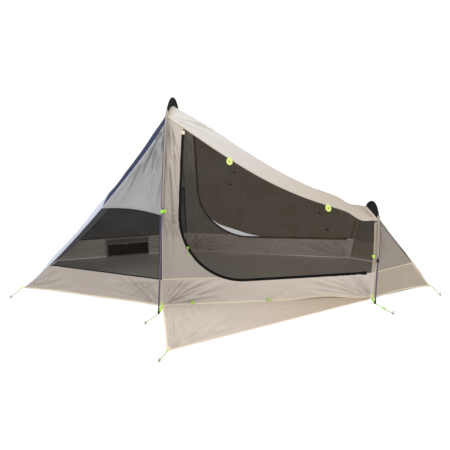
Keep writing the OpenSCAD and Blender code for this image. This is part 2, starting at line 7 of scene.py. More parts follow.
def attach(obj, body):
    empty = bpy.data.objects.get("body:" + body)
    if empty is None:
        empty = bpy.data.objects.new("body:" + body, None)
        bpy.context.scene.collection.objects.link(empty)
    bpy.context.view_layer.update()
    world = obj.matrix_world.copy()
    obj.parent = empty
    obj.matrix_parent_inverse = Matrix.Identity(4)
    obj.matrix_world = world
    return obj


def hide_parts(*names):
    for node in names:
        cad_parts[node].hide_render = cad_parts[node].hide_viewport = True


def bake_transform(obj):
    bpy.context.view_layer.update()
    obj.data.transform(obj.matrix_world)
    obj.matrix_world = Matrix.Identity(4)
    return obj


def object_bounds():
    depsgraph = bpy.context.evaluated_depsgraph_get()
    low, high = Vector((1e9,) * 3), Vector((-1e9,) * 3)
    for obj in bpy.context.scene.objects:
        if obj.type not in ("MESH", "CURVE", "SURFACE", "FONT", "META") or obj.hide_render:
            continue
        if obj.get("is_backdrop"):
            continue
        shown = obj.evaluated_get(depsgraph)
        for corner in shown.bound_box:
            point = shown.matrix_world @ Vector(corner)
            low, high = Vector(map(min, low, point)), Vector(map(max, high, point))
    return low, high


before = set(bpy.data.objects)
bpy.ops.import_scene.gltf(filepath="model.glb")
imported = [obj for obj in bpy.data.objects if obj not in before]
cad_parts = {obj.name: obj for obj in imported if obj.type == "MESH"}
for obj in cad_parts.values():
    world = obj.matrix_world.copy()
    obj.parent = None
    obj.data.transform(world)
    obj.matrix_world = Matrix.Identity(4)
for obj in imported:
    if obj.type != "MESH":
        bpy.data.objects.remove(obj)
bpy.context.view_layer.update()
scene = bpy.context.scene
scene.view_settings.view_transform = "Standard"

# ---------------------------------------------------------------- camera
cam = bpy.data.objects.new("camera", bpy.data.cameras.new("camera"))
scene.collection.objects.link(cam)
cam.data.sensor_width = 36
cam.data.lens = 51.2
turn = Euler((math.radians(78.02), 0, math.radians(3.2))).to_matrix()
roll = Matrix.Rotation(math.radians(-0.37), 3, "Z")
cam.matrix_world = Matrix.Translation((0.218, -4.26, 1.26)) @ (turn @ roll).to_4x4()
scene.camera = cam

SIDES = {"near": 1, "far": -1}


def unit(v):
    v = np.asarray(v, float)
    return v / max(np.linalg.norm(v), 1e-12)


def mix(a, b, t):
    return a + (b - a) * t


def hump(t):
    return 4 * t * (1 - t)


def smooth(t):
    t = np.clip(t, 0, 1)
    return t * t * (3 - 2 * t)


def points(*parts):
    """Coordinates put together into points."""
    return np.stack(np.broadcast_arrays(*parts), -1)


def put(piece, body="tent", cad=None):
    """The piece rides on a body and may stand for a CAD node."""
    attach(piece, body)
    if cad:
        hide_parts(cad)
    return piece


def lengths(path):
    """Distance along a path at each of its points."""
    return np.concatenate([[0], np.cumsum(np.linalg.norm(np.diff(path, axis=0), axis=1))])


def flip(p, s):
    """Near-side points mirrored to the far side when s is -1."""
    return np.asarray(p, float) * [1, s, 1]


def spline(knots, n):
    """n points on a smooth curve through the given ones."""
    p = np.asarray(knots, float)
    p = np.vstack([2 * p[0] - p[1], p, 2 * p[-1] - p[-2]])
    out = []
    for s in np.linspace(0, len(p) - 3, n):
        i = min(int(s), len(p) - 4)
        t = s - i
        a, b, c, d = p[i], p[i + 1], p[i + 2], p[i + 3]
        out.append(0.5 * (2 * b + (c - a) * t + (2 * a - 5 * b + 4 * c - d) * t * t
                          + (3 * b - a - 3 * c + d) * t ** 3))
    return np.array(out)


# ---------------------------------------------------------------- materials
def nodes_of(name):
    m = bpy.data.materials.new(name)
    m.use_nodes = True
    t = m.node_tree
    t.nodes.clear()
    return m, t


def plug(t, socket, value):
    """Link a socket to another one, or set its value."""
    if isinstance(value, bpy.types.NodeSocket):
        t.links.new(value, socket)
    else:
        socket.default_value = value


def node(t, kind, **values):
    n = t.nodes.new("ShaderNode" + kind)
    for k, v in values.items():
        if hasattr(n, k):
            setattr(n, k, v)
        else:
            plug(t, n.inputs[k.replace("_", " ")], v)
    return n


def noise(t, vec, scale, detail=3, rough=0.55):
    return node(t, "TexNoise", Scale=scale, Detail=detail, Roughness=rough, Vector=vec).outputs["Fac"]


def wave(t, vec, period, direction, distortion=0.0):
    return node(t, "TexWave", Scale=2 * math.pi / (20 * period), Distortion=distortion,
                bands_direction=direction, Vector=vec).outputs["Fac"]


def calc(t, op, *values, clamp=False):
    n = node(t, "Math", operation=op, use_clamp=clamp)
    for i, v in enumerate(values):
        plug(t, n.inputs[i], v)
    return n.outputs[0]


def blend_colour(t, fac, a, b):
    n = node(t, "Mix", data_type="RGBA")
    for i, v in ((0, fac), (6, a), (7, b)):
        plug(t, n.inputs[i], (*v, 1) if isinstance(v, tuple) else v)
    return n.outputs[2]


def bump(t, height, strength, distance, **under):
    return node(t, "Bump", Strength=strength, Distance=distance, Height=height, **under).outputs["Normal"]


def rgb(r, g, b):
    """Linear colour from 0-255 display values."""
    return tuple(((c / 255 + 0.055) / 1.055) ** 2.4 if c > 10 else c / 3294.6 for c in (r, g, b))


def lighter(colour, by, plus=0.0):
    return tuple(min(1, c * by + plus) for c in colour)


def coords(t):
    return node(t, "TexCoord").outputs["UV"], node(t, "TexCoord").outputs["Object"]


def principled(t, colour, normal, spec, **values):
    return node(t, "BsdfPrincipled", Base_Color=colour, Normal=normal, Specular_IOR_Level=spec, **values).outputs[0]


def let_through(t, shader, colour, glow):
    """A share of the light comes through the cloth."""
    both = node(t, "MixShader", Fac=glow)
    plug(t, both.inputs[1], shader)
    plug(t, both.inputs[2], node(t, "BsdfTranslucent", Color=colour).outputs[0])
    return both.outputs[0]


def finish_material(m, t, shader):
    plug(t, t.nodes.new("ShaderNodeOutputMaterial").inputs["Surface"], shader)
    return m


def cloth_material(name, colour, dark, glow=0.3, rough=0.6, toward=None, sheen=0.12, spec=0.28):
    """Ripstop nylon: fine weave, a raised grid each 5 mm, faint clouding, and light that comes through.
    toward is a painted light-and-shade ramp: the colour it fades to, (colour, axis, from, to), along one axis of the
    tent where the light falls off."""
    m, t = nodes_of(name)
    uv, obj = coords(t)
    grid = calc(t, "MAXIMUM", wave(t, uv, 0.005, "X"), wave(t, uv, 0.005, "Y"))
    grid = calc(t, "POWER", grid, 14.0)
    weave = calc(t, "MULTIPLY", wave(t, uv, 0.0009, "X"), wave(t, uv, 0.0009, "Y"))
    smudge = noise(t, obj, 19.0, 5, 0.7)
    clouds = calc(t, "ADD", calc(t, "MULTIPLY", noise(t, obj, 3.5, 4), 0.62), calc(t, "MULTIPLY", smudge, 0.38))
    base = blend_colour(t, calc(t, "MULTIPLY_ADD", clouds, 1.9, -0.45, clamp=True), dark, colour)
    # Painted light and shade: a ramp to another colour along one axis, standing in for the fall-off of light.
    if toward:
        split = node(t, "SeparateXYZ", Vector=obj)
        part = node(t, "MapRange", interpolation_type="SMOOTHSTEP", Value=split.outputs[toward[1]],
                    From_Min=toward[2], From_Max=toward[3])
        base = blend_colour(t, part.outputs[0], base, toward[0])
    base = blend_colour(t, calc(t, "MULTIPLY", grid, 0.16), base, lighter(colour, 1.25))
    base = blend_colour(t, calc(t, "MULTIPLY", weave, 0.10), base, dark)
    crinkle = bump(t, noise(t, obj, 46.0, 5, 0.62), 0.30, 0.004)
    normal = bump(t, calc(t, "ADD", grid, calc(t, "MULTIPLY", weave, 0.4)), 0.35, 0.0002, Normal=crinkle)
    shader = principled(t, base, normal, spec, Sheen_Weight=sheen, Sheen_Roughness=0.5,
                        Roughness=calc(t, "MULTIPLY_ADD", smudge, 0.25, rough - 0.12))
    return finish_material(m, t, let_through(t, shader, base, glow))


def mesh_material(name, colour, cover):
    """Insect mesh: a fine hexagonal-looking net that covers only part of what is behind it."""
    m, t = nodes_of(name)
    uv, obj = coords(t)
    threads = calc(t, "MAXIMUM", wave(t, uv, 0.0014, "X"), wave(t, uv, 0.0012, "DIAGONAL"))
    cloud = noise(t, obj, 5.0, 4, 0.6)
    alpha = calc(t, "ADD", calc(t, "MULTIPLY_ADD", threads, 0.22, cover - 0.155),
                 calc(t, "MULTIPLY_ADD", cloud, 0.10, -0.05), clamp=True)
    base = blend_colour(t, cloud, tuple(c * 0.7 for c in colour), tuple(c * 1.35 for c in colour))
    return finish_material(m, t, principled(t, base, bump(t, threads, 0.4, 0.0003), 0.1, Roughness=0.75, Alpha=alpha))


def plain_material(name, colour, rough, metal=0.0, grain=300.0, grain_depth=0.0001, vary=0.18, spec=0.5):
    """Solid material with a slight mottle, uneven gloss and a fine grain."""
    m, t = nodes_of(name)
    obj = node(t, "TexCoord").outputs["Object"]
    fine = noise(t, obj, grain, 3, 0.6)
    base = blend_colour(t, noise(t, obj, 14.0, 4, 0.6), tuple(c * (1 - vary) for c in colour),
                        lighter(colour, 1 + vary))
    return finish_material(m, t, principled(t, base, bump(t, fine, 0.35, grain_depth), spec, Metallic=metal,
                                            Roughness=calc(t, "MULTIPLY_ADD", fine, 0.22, rough - 0.11)))


def strap_material(name, colour, period=0.0022, rough=0.7, glow=0.0, spec=0.3):
    """Tape or webbing: weave across it, stitches near each edge. UV is metres along and across."""
    m, t = nodes_of(name)
    uv = node(t, "TexCoord").outputs["UV"]
    split = node(t, "SeparateXYZ", Vector=uv)
    ribs = wave(t, uv, period, "DIAGONAL")
    base = blend_colour(t, calc(t, "MULTIPLY", ribs, 0.5), colour, tuple(c * 0.72 for c in colour))
    base = blend_colour(t, calc(t, "MULTIPLY", noise(t, uv, 40.0, 4, 0.6), 0.3), base, lighter(colour, 1.3))
    across = calc(t, "ABSOLUTE", calc(t, "SUBTRACT", calc(t, "ABSOLUTE", split.outputs["Y"]), 0.7))
    dash = calc(t, "LESS_THAN", calc(t, "FRACT", calc(t, "DIVIDE", split.outputs["X"], 0.0036)), 0.66)
    thread = calc(t, "MULTIPLY", calc(t, "LESS_THAN", across, 0.09), dash)
    base = blend_colour(t, calc(t, "MULTIPLY", thread, 0.7), base, lighter(colour, 0.5, 0.04))
    height = calc(t, "ADD", calc(t, "MULTIPLY", ribs, 0.4), thread)
    shader = principled(t, base, bump(t, height, 0.5, 0.0004), spec, Roughness=rough)
    return finish_material(m, t, let_through(t, shader, base, glow) if glow else shader)


def braid_material(name, colour, fleck):
    """Braided cord, with painted shade in its grooves. UV is metres along and turns round."""
    m, t = nodes_of(name)
    uv = node(t, "TexCoord").outputs["UV"]
    split = node(t, "SeparateXYZ", Vector=uv)
    along = calc(t, "DIVIDE", split.outputs["X"], 0.004)
    parts = []
    for way in (1.0, -1.0):
        turned = calc(t, "ADD", along, calc(t, "MULTIPLY", split.outputs["Y"], 4.0 * way))
        parts.append(calc(t, "ABSOLUTE", calc(t, "SINE", calc(t, "MULTIPLY", turned, math.pi))))
    height = calc(t, "MULTIPLY", *parts)
    # Painted shade: the grooves, where the braid's height is low, darken to 0.45 of the colour.
    base = blend_colour(t, height, tuple(c * 0.45 for c in colour), colour)
    spot = calc(t, "GREATER_THAN", noise(t, uv, 260.0, 1), 0.60)
    base = blend_colour(t, calc(t, "MULTIPLY", spot, 0.5), base, fleck)
    return finish_material(m, t, principled(t, base, bump(t, height, 0.8, 0.0006), 0.35, Roughness=0.6))


LIME = rgb(150, 210, 62)
# Roof fabric with painted shade: it darkens towards the foot end, where less light falls.
canopy = cloth_material("canopy", rgb(206, 202, 197), rgb(192, 186, 179), 0.3, 0.6,
        (rgb(190, 178, 161), "X", -0.1, 0.8))
# Stile fabric with painted shade: darker towards the bottom of the wall, where less light falls.
stile_cloth = cloth_material("stile_cloth", rgb(188, 180, 170), rgb(172, 163, 153), 0.22, 0.6,
        (rgb(158, 150, 142), "Z", 0.95, 0.5))
# Skirt fabric with painted shade: darker at the head end, lighter towards the foot end.
skirt_cloth = cloth_material("skirt_cloth", rgb(188, 179, 171), rgb(172, 162, 153), 0.35, 0.6,
        (rgb(214, 204, 194), "X", -0.6, 0.3))
skirt_foot_cloth = cloth_material("skirt_foot_cloth", rgb(180, 168, 153), rgb(164, 151, 136), 0.22)
# Head panel's canopy fabric with painted shade: cool grey for the panel's side in shadow.
canopy_painted_shade = cloth_material("canopy_painted_shade", rgb(160, 160, 161), rgb(140, 140, 141), 0.22)
# Foot panel's canopy fabric with painted shade: grey-brown for the shadow behind the translucent panel.
canopy_painted_shadow = cloth_material("canopy_painted_shadow", rgb(158, 149, 140), rgb(140, 131, 122), 0.22)
# Head end wall's canopy fabric with painted sky light: pale blue where the beige fabric is lit by the sky.
canopy_painted_skylight = cloth_material("canopy_painted_skylight", rgb(180, 188, 204), rgb(164, 174, 192), 0.08)
# Porch fabric with painted shade: darker towards the foot end.
porch_cloth = cloth_material("porch_cloth", rgb(186, 176, 166), rgb(168, 157, 144), 0.1, 0.6,
        (rgb(162, 145, 124), "X", -0.1, 0.8))
floor_cloth = cloth_material("floor_cloth", rgb(218, 210, 200), rgb(202, 194, 184), 0.05, 0.5)
web_cloth = cloth_material("web_cloth", rgb(22, 22, 21), rgb(15, 15, 14), 0.02, 0.8, None, 0.0, 0.06)
sleeve_cloth = cloth_material("sleeve_cloth", rgb(160, 149, 138), rgb(144, 133, 122), 0.2)
door_net = mesh_material("door_net", rgb(20, 16, 11), 0.60)
far_door_net = mesh_material("far_door_net", rgb(132, 106, 62), 0.93)
window_net = mesh_material("window_net", rgb(19, 16, 12), 0.60)
far_window_net = mesh_material("far_window_net", rgb(19, 16, 12), 0.95)
navy_tape = strap_material("navy_tape", rgb(50, 54, 76), spec=0.15)
end_net = mesh_material("end_net", rgb(26, 36, 68), 0.86)
pocket_net = mesh_material("pocket_net", rgb(18, 18, 18), 0.97)
pocket_grey = cloth_material("pocket_grey", rgb(156, 151, 144), rgb(138, 133, 126), 0.05)
pocket_tape = strap_material("pocket_tape", rgb(206, 202, 198))
hem_tape = strap_material("hem_tape", rgb(216, 202, 178), glow=0.15)
seam_tape = strap_material("seam_tape", rgb(190, 181, 168), glow=0.2)
brown_tape = strap_material("brown_tape", rgb(122, 110, 96))
edge_tape = strap_material("edge_tape", rgb(176, 176, 186), glow=0.2)
black_tape = strap_material("black_tape", rgb(9, 8, 8), 0.0018, spec=0.08)
lime_web = strap_material("lime_web", rgb(172, 214, 66))
loop_web = strap_material("loop_web", rgb(214, 232, 128), glow=0.2)
cord_lime = braid_material("cord_lime", rgb(146, 196, 52), rgb(104, 150, 40))
cord_dark = braid_material("cord_dark", rgb(104, 160, 70), rgb(60, 96, 44))
lime_plastic = plain_material("lime_plastic", LIME, 0.42, grain=500, vary=0.1)
black_plastic = plain_material("black_plastic", rgb(15, 15, 15), 0.5, grain=500, spec=0.25)
pole_metal = plain_material("pole_metal", rgb(84, 78, 88), 0.36, 0.8, grain=700, grain_depth=0.00003)
peg_metal = plain_material("peg_metal", rgb(176, 178, 182), 0.3, 0.9, grain=600, grain_depth=0.00003)
# Dark mauve for the sleeve's seam line, with painted shadow of the gap between sleeve and panel.
sleeve_seam_and_shadow = plain_material("sleeve_seam_and_shadow", rgb(64, 56, 70), 0.6, grain=500)
zip_black = plain_material("zip_black", rgb(8, 8, 8), 0.5, grain=800, spec=0.15)


# ---------------------------------------------------------------- mesh building
def build(name, verts, faces, mat, uvs=None, shade=True):
    me = bpy.data.meshes.new(name)
    me.from_pydata([tuple(v) for v in verts], [], [tuple(f) for f in faces])
    if uvs is not None:
        layer = me.uv_layers.new(name="UVMap")
        loops = np.zeros(len(me.loops), int)
        me.loops.foreach_get("vertex_index", loops)
        layer.data.foreach_set("uv", np.asarray(uvs, float)[loops].astype(np.float32).ravel())
    me.materials.append(mat)
    me.validate()
    if shade:
        me.polygons.foreach_set("use_smooth", [True] * len(me.polygons))
    me.update()
    o = bpy.data.objects.new(name, me)
    scene.collection.objects.link(o)
    return o


def grid_faces(n, m, start=0, closed=False):
    i, j = np.meshgrid(np.arange(n - 1), np.arange(m if closed else m - 1), indexing="ij")
    a = start + i * m + j
    b = start + i * m + (j + 1) % m
    return np.stack([a, b, b + m, a + m], -1).reshape(-1, 4).tolist()


def metric_uv(P):
    """Metres along and across a grid of points, from its arc lengths."""
    u = np.concatenate([np.zeros((1, P.shape[1])), np.cumsum(np.linalg.norm(np.diff(P, axis=0), axis=2), 0)])
    v = np.concatenate([np.zeros((P.shape[0], 1)), np.cumsum(np.linalg.norm(np.diff(P, axis=1), axis=2), 1)], 1)
    return np.stack([u, v], -1)


def normals_of(P, towards):
    """Unit normals of a grid of points, on the side that the direction towards names."""
    a = np.gradient(P, axis=0)
    b = np.gradient(P, axis=1)
    n = np.cross(a, b)
    n /= np.maximum(np.linalg.norm(n, axis=2, keepdims=True), 1e-12)
    if (n @ np.asarray(towards, float)).mean() < 0:
        n = -n
    return n


def area_of(P):
    a, b, c, d = P[:-1, :-1], P[1:, :-1], P[1:, 1:], P[:-1, 1:]
    return float((np.linalg.norm(np.cross(b - a, c - a), axis=2)
                  + np.linalg.norm(np.cross(c - a, d - a), axis=2)).sum() / 2)


def cloth(name, P, mat, towards, push=None, body="tent", replaces=()):
    """A cloth panel over a grid of points, pushed along its normals; its flat size is worked out but not used."""
    n, m = P.shape[:2]
    N = normals_of(P, towards)
    Q = P if push is None else P + N * push[..., None]
    uv = metric_uv(P)
    o = build(name, Q.reshape(-1, 3), grid_faces(n, m), mat, uv.reshape(-1, 2))
    wide, tall = float(uv[..., 0].max()), float(uv[..., 1].max())
    flat_area = area_of(P)
    if body:
        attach(o, body)
    if replaces:
        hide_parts(*replaces)
    wide, tall = round(wide, 3), round(tall, 3)
    flat_area = float(np.clip(flat_area, 0.301 * wide * tall, 0.999 * wide * tall))
    return o


def frames_along(path, up):
    """Tangent, side and up vectors at each point of a path; up may be one vector or one per point."""
    path = np.asarray(path, float)
    t = np.gradient(path, axis=0)
    t /= np.maximum(np.linalg.norm(t, axis=1, keepdims=True), 1e-12)
    up = np.broadcast_to(np.asarray(up, float), path.shape)
    side = np.cross(t, up)
    side /= np.maximum(np.linalg.norm(side, axis=1, keepdims=True), 1e-12)
    return t, side, np.cross(side, t)


def tube(name, path, r, mat, sides=10, taper=None, up=(0.13, 0.2, 0.97)):
    """Round cord or tube along a path, closed at its ends with small domes."""
    path = np.asarray(path, float)
    t, side, top = frames_along(path, up)
    radius = np.full(len(path), r) if taper is None else r * np.asarray(taper, float)
    path = np.vstack([path[:1] - t[:1] * r * 0.5, path, path[-1:] + t[-1:] * r * 0.5])
    side, top = np.vstack([side[:1], side, side[-1:]]), np.vstack([top[:1], top, top[-1:]])
    radius = np.concatenate([[radius[0] * 0.5], radius, [radius[-1] * 0.5]])
    a = np.linspace(0, 2 * math.pi, sides + 1)
    ring = np.cos(a)[None, :, None] * side[:, None] + np.sin(a)[None, :, None] * top[:, None]
    P = path[:, None] + ring * radius[:, None, None]
    n, m = P.shape[:2]
    along = lengths(path)
    uv = points(along[:, None], np.linspace(0, 1, m)[None]).reshape(-1, 2)
    faces = grid_faces(n, m) + [list(range(m - 1))[::-1], [(n - 1) * m + k for k in range(m - 1)]]
    o = build(name, P.reshape(-1, 3), faces, mat, uv)
    return o


def ribbon(name, path, up, width, thick, mat, lift=0.0, twist=None):
    """Flat tape along a path, its edges turned down. UV is metres along, and -1 to 1 across."""
    path = np.asarray(path, float)
    t, side, top = frames_along(path, up)
    across = np.array([-1, -0.86, -0.4, 0, 0.4, 0.86, 1])
    rise = np.array([-0.2, 0.85, 1, 1.08, 1, 0.85, -0.2])
    P = (path[:, None] + side[:, None] * across[None, :, None] * width / 2
         + top[:, None] * (lift + rise[None, :, None] * thick))
    along = lengths(path)
    uv = points(along[:, None], across[None]).reshape(-1, 2)
    o = build(name, P.reshape(-1, 3), grid_faces(*P.shape[:2]), mat, uv)
    return o


def lathe(name, profile, origin, axis, mat, steps=24):
    """A turned piece: profile is (radius, height) pairs along axis from origin."""
    z = unit(axis)
    x = unit(np.cross(z, [0.31, 0.95, 0.05] if abs(z[1]) < 0.9 else [1, 0, 0]))
    y = np.cross(z, x)
    a = np.linspace(0, 2 * math.pi, steps, endpoint=False)
    P = np.array([[np.asarray(origin) + z * h + r * (math.cos(k) * x + math.sin(k) * y) for k in a] for r,
                  h in profile])
    n, m = P.shape[:2]
    faces = grid_faces(n, m, closed=True) + [list(range(m))[::-1], [(n - 1) * m + k for k in range(m)]]
    o = build(name, P.reshape(-1, 3), faces, mat)
    return o


def slab(name, outline, depth, place, mat, round_off=0.0006):
    """A plate with rounded edges: an outline of (x, y) points, depth thick, put in place by a matrix."""
    k = len(outline)
    verts = [(x, y, -depth / 2) for x, y in outline] + [(x, y, depth / 2) for x, y in outline]
    faces = [list(range(k))[::-1], [k + i for i in range(k)]]
    faces += [[i, (i + 1) % k, k + (i + 1) % k, k + i] for i in range(k)]
    o = build(name, verts, faces, mat, shade=False)
    o.data.transform(place)
    b = o.modifiers.new("edge", "BEVEL")
    b.width, b.segments, b.limit_method = round_off, 2, "ANGLE"
    return o


def basis(origin, x, y):
    """Matrix with its x and y along the given directions."""
    x = unit(x)
    z = unit(np.cross(x, y))
    y = np.cross(z, x)
    m = Matrix.Identity(4)
    for i in range(3):
        m[i][0], m[i][1], m[i][2], m[i][3] = x[i], y[i], z[i], origin[i]
    return m


# ---------------------------------------------------------------- the tent's shape, near side, in metres
TALL_X, SHORT_X, HEAD_X, FOOT_X = -0.360, 0.905, -1.320, 1.320
TALL_SEAM, SHORT_SEAM, SKIRT, WINDOW = 1.092, 0.440, 0.158, 0.530
ZIP_X, ZIP_Z, ZIP_R, ZIP_TOP, ZIP_END = -0.259, 0.139, 0.388, 0.976, 0.888
ZIP_CX, ZIP_CZ = ZIP_X + ZIP_R, ZIP_Z + ZIP_R
ZIP_RISE = 0.017
KNEE = 0.52
HEAD_PANEL_TOP, FOOT_PANEL_TOP, SHORT_STILE_U = 1.060, 0.432, 0.979
TALL_HALF, SHORT_HALF = (0.675, 0.550, 0.272, 0.020), (0.488, 0.420, 0.240, 0.012)
TALL_APEX, TALL_FOOT, TALL_SLOPE = 1.204, 0.805, 67
SHORT_APEX, SHORT_FOOT, SHORT_SLOPE = 0.517, 0.585, 58
SHORT_COS = math.cos(math.radians(8))
LEAN = math.tan(math.radians(8))


def soft_min(a, b, k):
    h = np.clip(0.5 + 0.5 * (b - a) / k, 0, 1)
    return b + (a - b) * h - k * h * (1 - h)


def half_profile(v, base, knee, top, bow, k):
    t = (v - KNEE) / (1 - KNEE)
    low = mix(base, knee, v / KNEE)
    high = mix(knee, top, t) + bow * hump(t)
    return soft_min(low, high, k)


def seam_z(u):
    return mix(TALL_SEAM, SHORT_SEAM, u)


def lean_x(z):
    return SHORT_X + z * LEAN


def wall(u, v):
    k = 0.002 + 0.016 * np.clip(hump(np.clip(u, 0, 1)), 0, 1) ** 0.5
    y = mix(half_profile(v, *TALL_HALF, k), half_profile(v, *SHORT_HALF, k), u)
    return points(mix(TALL_X, lean_x(v * seam_z(u)), u), -y, v * seam_z(u))


def side_at(x, z):
    u = (x - TALL_X) / (lean_x(z) - TALL_X)
    return wall(u, z / seam_z(u))


def roof_edge(u):
    u = np.asarray(u, float)
    return wall(u, 1 - 0.12 * np.sin(math.pi * np.clip(u, 0, 1) ** 1.2) - 0.052 * np.exp(-((u - 0.915) / 0.052) ** 2))


def ridge_z(u):
    return mix(1.150, 0.464, u) - 0.080 * np.sin(math.pi * np.clip(u, 0,
            1) ** 1.25) - 0.025 * np.exp(-((u - 0.97) / 0.19) ** 2)


def roof_at(u, k):
    e = roof_edge(u)
    return points(e[..., 0], k * e[..., 1], mix(ridge_z(u), e[..., 2], k * k))


def head_edge(z):
    f = z / TALL_SEAM
    x = HEAD_X + (TALL_X - HEAD_X) * f + 0.075 * np.clip(hump(f), 0, 1) ** 0.6
    return points(x, -(0.346 - 0.074 * np.clip(f, 0, 1) ** 2.2), z)


def tall_leg(z):
    y = half_profile(z / TALL_SEAM, *TALL_HALF, 0.002)
    return points(TALL_X, -y, z)


def short_leg(z):
    y = half_profile(z / SHORT_SEAM, *SHORT_HALF, 0.002)
    return points(lean_x(z), -y, z)


def foot_edge(z):
    f = z / SHORT_SEAM
    return points(mix(FOOT_X, lean_x(SHORT_SEAM), f), -mix(0.213, 0.240, f), z)


def head_at(s, z):
    """s runs from the head end's edge to the tall leg."""
    return mix(head_edge(z), tall_leg(z), s[..., None])


def foot_at(s, z):
    """s runs from the short leg to the foot end's edge."""
    return mix(short_leg(z), foot_edge(z), s[..., None])


def head_wall(z, k):
    e = head_edge(z)
    crown = mix(0.045, 0.100, z / TALL_SEAM) * np.minimum(1, z / 0.110)
    return points(e[..., 0], k * e[..., 1], z + crown * (1 - k * k))


def foot_wall(z, k):
    e = foot_edge(z)
    return points(e[..., 0], k * e[..., 1], z + 0.022 * np.minimum(1, z / 0.040) * (1 - k * k))


def zip_xz(t, off=0.0):
    """Zip's line in the side wall, t from -1 at its top through 0 and 1 at the corner's ends to 2 at its foot end."""
    t = np.asarray(t, float)
    a = math.pi * (1 + np.clip(t, 0, 1) / 2)
    x = np.where(t < 0, ZIP_X + off, np.where(t <= 1, ZIP_CX + (ZIP_R - off) * np.cos(a),
            mix(ZIP_CX, ZIP_END, t - 1)))
    z = np.where(t < 0, mix(ZIP_CZ, ZIP_TOP, -t), np.where(t <= 1, ZIP_CZ + (ZIP_R - off) * np.sin(a), ZIP_Z + off
            + ZIP_RISE * np.clip(t - 1, 0, 1)))
    return np.stack([x, z], -1)


def zip_even(n, off=0.0, t0=-1.0, t1=2.0):
    """Points of the zip's line, evenly spaced along it."""
    t = np.linspace(t0, t1, 400)
    p = zip_xz(t, off)
    d = lengths(p)
    return zip_xz(np.interp(np.linspace(0, d[-1], n), d, t), off)


def on_side(p):
    return side_at(p[..., 0], p[..., 1])


def side_out(p):
    """Outward normal of the side wall at points (x, z)."""
    e = 0.003
    x, z = p[..., 0], p[..., 1]
    n = np.cross(side_at(x + e, z) - side_at(x - e, z), side_at(x, z + e) - side_at(x, z - e))
    n = n / np.linalg.norm(n, axis=-1, keepdims=True)
    return np.where(n[..., 1:2] > 0, -n, n)


# ---------------------------------------------------------------- wrinkles
def crumple(A, B, seed, depth, size):
    """Soft irregular ripples: a sum of waves of many directions and lengths around size."""
    r = np.random.RandomState(seed)
    total = np.zeros(np.broadcast(A, B).shape)
    for _ in range(16):
        k = 2 * math.pi / (size * r.uniform(0.6, 2.2))
        a = r.uniform(0, math.pi)
        total += r.uniform(0.5, 1) * np.sin(k * (A * math.cos(a) + B * math.sin(a)) + r.uniform(0, 6.3)
                + 0.7 * np.sin(k * 0.37 * (B - A)))
    return depth * total / 4


def creases(A, B, anchor, spread, count, depth, width, reach, seed, start=0.03):
    """Tension folds that run out of an anchor point between two directions, in degrees."""
    r = np.random.RandomState(seed)
    dx, dz = A - anchor[0], B - anchor[1]
    d, th = np.hypot(dx, dz), np.arctan2(dz, dx)
    total = np.zeros(d.shape)
    for i in range(count):
        a = math.radians(mix(spread[0], spread[1], (i + r.uniform(0.15, 0.85)) / count))
        w = width * r.uniform(0.6, 1.4) * (0.3 + 0.7 * np.clip(d / reach, 0, 1))
        off = d * np.sin(th - a) + 0.012 * np.sin(d * r.uniform(5, 11) + r.uniform(0, 6))
        long = reach * r.uniform(0.55, 1.1)
        along = smooth(d / (start * r.uniform(1, 4))) * (1 - smooth((d - 0.45 * long) / (0.55 * long)))
        fold = np.exp(-(off / w) ** 2) - 0.45 * np.exp(-((off - 1.9 * w) / (1.5 * w)) ** 2)
        total += depth * r.uniform(0.45, 1.15) * along * fold * (np.cos(th - a) > 0)
    return total


def folds(A, B, seed, *rows):
    """Several sets of creases, each with the next seed."""
    return sum(creases(A, B, *row, seed + i) for i, row in enumerate(rows))


def edge_mask(P, width=0.03):
    uv = metric_uv(P)
    u, v = uv[..., 0], uv[..., 1]
    near = np.minimum(np.minimum(u, u[-1:, :] - u), np.minimum(v, v[:, -1:] - v))
    return smooth(near / width)


def patch(surface, low, high, m):
    """Points of a surface between two lines of its parameters."""
    t = np.linspace(0, 1, m)[None, :, None]
    p = mix(np.asarray(low, float)[:, None], np.asarray(high, float)[:, None], t)
    return p, surface(p[..., 0], p[..., 1])


def line(a, b, n):
    return mix(np.asarray(a, float), np.asarray(b, float), np.linspace(0, 1, n)[:, None])


# ---------------------------------------------------------------- cords, before the cloth
GUYS = {
    "head": ((-1.326, -0.352, 0.006), (-1.320, -0.550, 0.006), "corner_guys", "tent"),
    "foot": ((1.326, -0.219, 0.006), (1.334, -0.402, 0.006), "corner_guys", "tent"),
    "tall": ((-0.364, -0.817, 0.006), (-0.407, -0.962, 0.006), "pole_guys", "tent"),
    "short": ((0.910, -0.597, 0.006), (0.976, -0.754, 0.006), "pole_guys", "tent"),
    "porch": ((-0.232, -1.332, 0.006), (-0.254, -1.454, 0.006), "porch_guy", "porch"),
}


def guy_path(a, b, n=24):
    a, b = np.asarray(a, float), np.asarray(b, float)
    t = np.linspace(0, 1, n)[:, None]
    out = unit([-(b - a)[1], (b - a)[0], 0])
    return mix(a, b, t) + out * 0.0035 * np.sin(2 * math.pi * t) * np.sin(math.pi * t)


def peg_place(a, b):
    a, b = np.asarray(a, float), np.asarray(b, float)
    away = unit(b - a)
    return np.array([b[0] + away[0] * 0.005, b[1] + away[1] * 0.005, 0.0]), away


